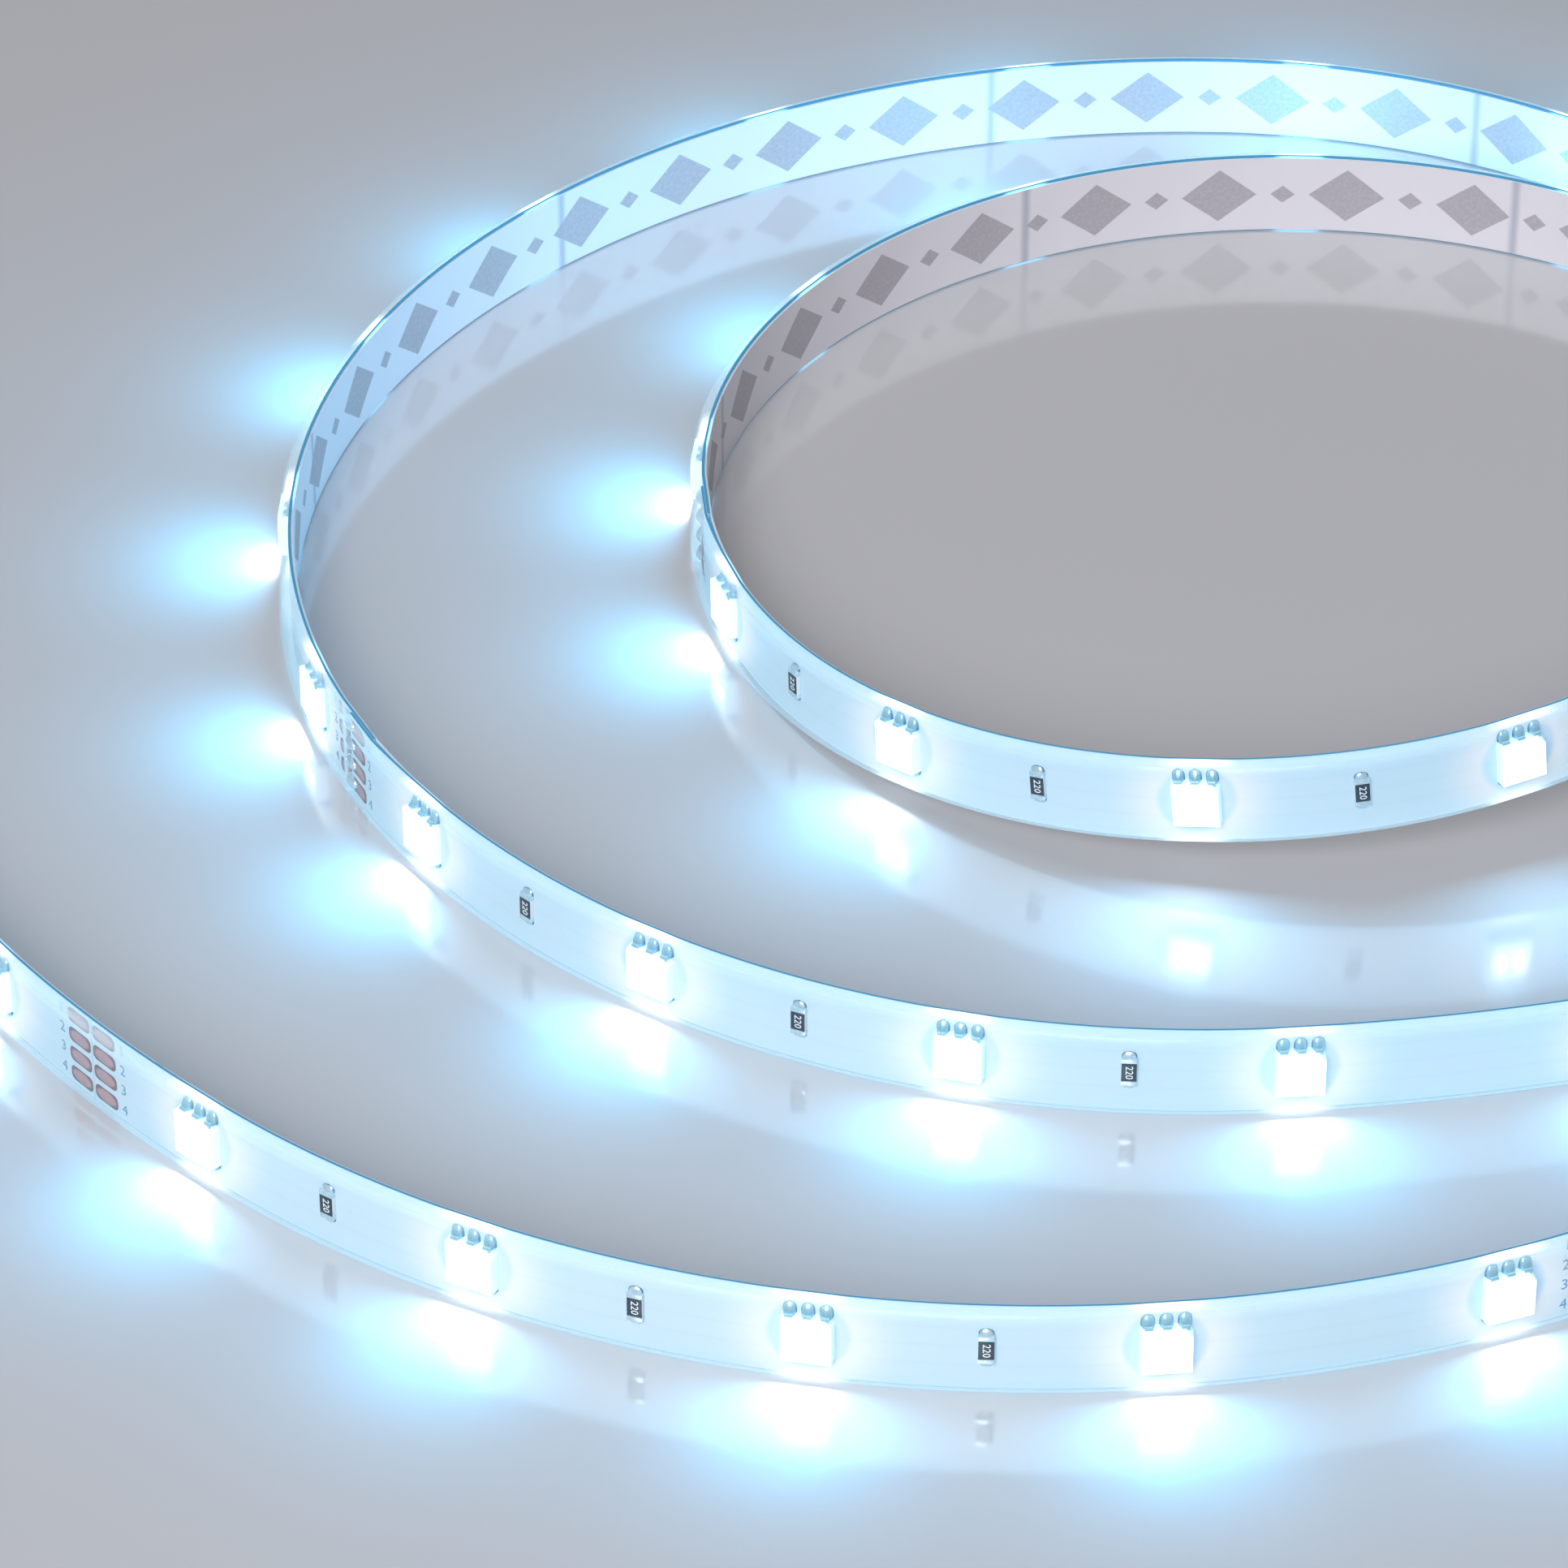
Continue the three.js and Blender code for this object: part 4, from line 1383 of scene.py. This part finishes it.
class STRIP_COIL_OT_leads(bpy.types.Operator):
    """Leads of the LEDs and the solder round them"""

    bl_idname = "strip_coil.leads"
    bl_label = "Solder the leads"

    def execute(self, context):
        sizes = context.scene.strip_sizes
        row = (sizes.leads_per_side, (sizes.lead_pitch, 0, 0))
        # The teal in these tones is painted reflection of the LEDs' light on silver tin
        for name, template, finish_name, colour, roughness in (
            ("led_leads", lead_template(), "tinned_lead", "#b9dfec", 0.22),
            ("lead_solder", lead_solder_template(), "reflowed_solder", "#9ed3e4", 0.12),
        ):
            finish = bright_solder(finish_name, colour, roughness)
            finish_piece(set_on_seats(name, led_seats(), template, finish, *row), "led_package")
        return {"FINISHED"}


class STRIP_COIL_OT_resistors(bpy.types.Operator):
    """Chip resistors that lie across the strip between LEDs"""

    bl_idname = "strip_coil.resistors"
    bl_label = "Seat the resistors"

    def execute(self, context):
        seats = [seat_at(s, 0.8 * MM, BOARD_FRONT) for s in RESISTOR_CENTRES]
        for name, template, finish in (
            ("resistor_chips", chip_template(), fired_alumina()),
            ("resistor_glaze", glaze_template(), resistor_glaze()),
            ("resistor_caps", cap_template(), bright_solder("tinned_cap", "#f1f7fa", roughness=0.14)),
            ("resistor_values", code_template(), board_ink("value_ink", linear("#e8f2f8"))),
        ):
            finish_piece(set_on_seats(name, seats, template, finish), "board_white")
        return {"FINISHED"}


class STRIP_COIL_OT_pads(bpy.types.Operator):
    """Copper pads at the cut lines, with plain numbers beside them"""

    bl_idname = "strip_coil.pads"
    bl_label = "Add pads and numbers"

    def execute(self, context):
        sizes = context.scene.strip_sizes
        finishes = context.scene.strip_finishes
        reach = sizes.pad_length / 2
        pads = set_on_seats(
            "solder_pads", pad_columns(reach, sizes.pad_gap), pad_template(sizes), pad_copper(finishes),
            sizes.pad_rows, (0, sizes.pad_pitch, 0))
        finish_piece(pads, "board_white")
        away = sizes.pad_length + sizes.pad_gap / 2 + NUMERAL_SHIFT
        numbers = set_on_seats(
            "pad_numbers", numeral_columns(away), numeral_template(sizes),
            board_ink("number_ink", tuple(finishes.ink)))
        finish_piece(numbers, "board_white")
        return {"FINISHED"}


class STRIP_COIL_OT_splices(bpy.types.Operator):
    """Solder mounds that join one board to the next"""

    bl_idname = "strip_coil.splices"
    bl_label = "Solder the splices"

    def execute(self, context):
        sizes = context.scene.strip_sizes
        seats = [seat_at(s, SPLICE_APPROACH, BOARD_FRONT + SOLDER_FILM) for s in SPLICES]
        finish = bright_solder("hand_solder", "#eef5f8", roughness=0.16)
        mounds = set_on_seats(
            "splice_mounds", seats, mound_template(), finish, sizes.pad_rows, (0, sizes.pad_pitch, 0))
        finish_piece(mounds, "board_white")
        return {"FINISHED"}


STEPS = (
    STRIP_COIL_OT_stage, STRIP_COIL_OT_throw, STRIP_COIL_OT_boards, STRIP_COIL_OT_coat,
    STRIP_COIL_OT_backing, STRIP_COIL_OT_leds, STRIP_COIL_OT_leads, STRIP_COIL_OT_resistors,
    STRIP_COIL_OT_pads, STRIP_COIL_OT_splices,
)


class STRIP_COIL_PT_panel(bpy.types.Panel):
    """Steps that build the coil"""

    bl_label = "Strip coil"
    bl_idname = "STRIP_COIL_PT_panel"
    bl_space_type = "VIEW_3D"
    bl_region_type = "UI"
    bl_category = "Strip coil"

    def draw(self, context):
        for step in STEPS:
            self.layout.operator(step.bl_idname)
        scene = context.scene
        for group in (scene.strip_sizes, scene.strip_finishes, scene.strip_stage):
            box = self.layout.box()
            for name in group.__annotations__:
                box.prop(group, name)


CLASSES = (StripSizes, StripFinishes, StageSettings, *STEPS, STRIP_COIL_PT_panel)


def register():
    for cls in CLASSES:
        bpy.utils.register_class(cls)
    bpy.types.Scene.strip_sizes = bpy.props.PointerProperty(type=StripSizes)
    bpy.types.Scene.strip_finishes = bpy.props.PointerProperty(type=StripFinishes)
    bpy.types.Scene.strip_stage = bpy.props.PointerProperty(type=StageSettings)


def unregister():
    del bpy.types.Scene.strip_sizes
    del bpy.types.Scene.strip_finishes
    del bpy.types.Scene.strip_stage
    for cls in reversed(CLASSES):
        bpy.utils.unregister_class(cls)


def main():
    register()
    bpy.ops.strip_coil.stage()
    bpy.ops.strip_coil.throw()
    bpy.ops.strip_coil.boards()
    bpy.ops.strip_coil.coat()
    bpy.ops.strip_coil.backing()
    bpy.ops.strip_coil.leds()
    bpy.ops.strip_coil.leads()
    bpy.ops.strip_coil.resistors()
    bpy.ops.strip_coil.pads()
    bpy.ops.strip_coil.splices()


if __name__ == "__main__":
    main()
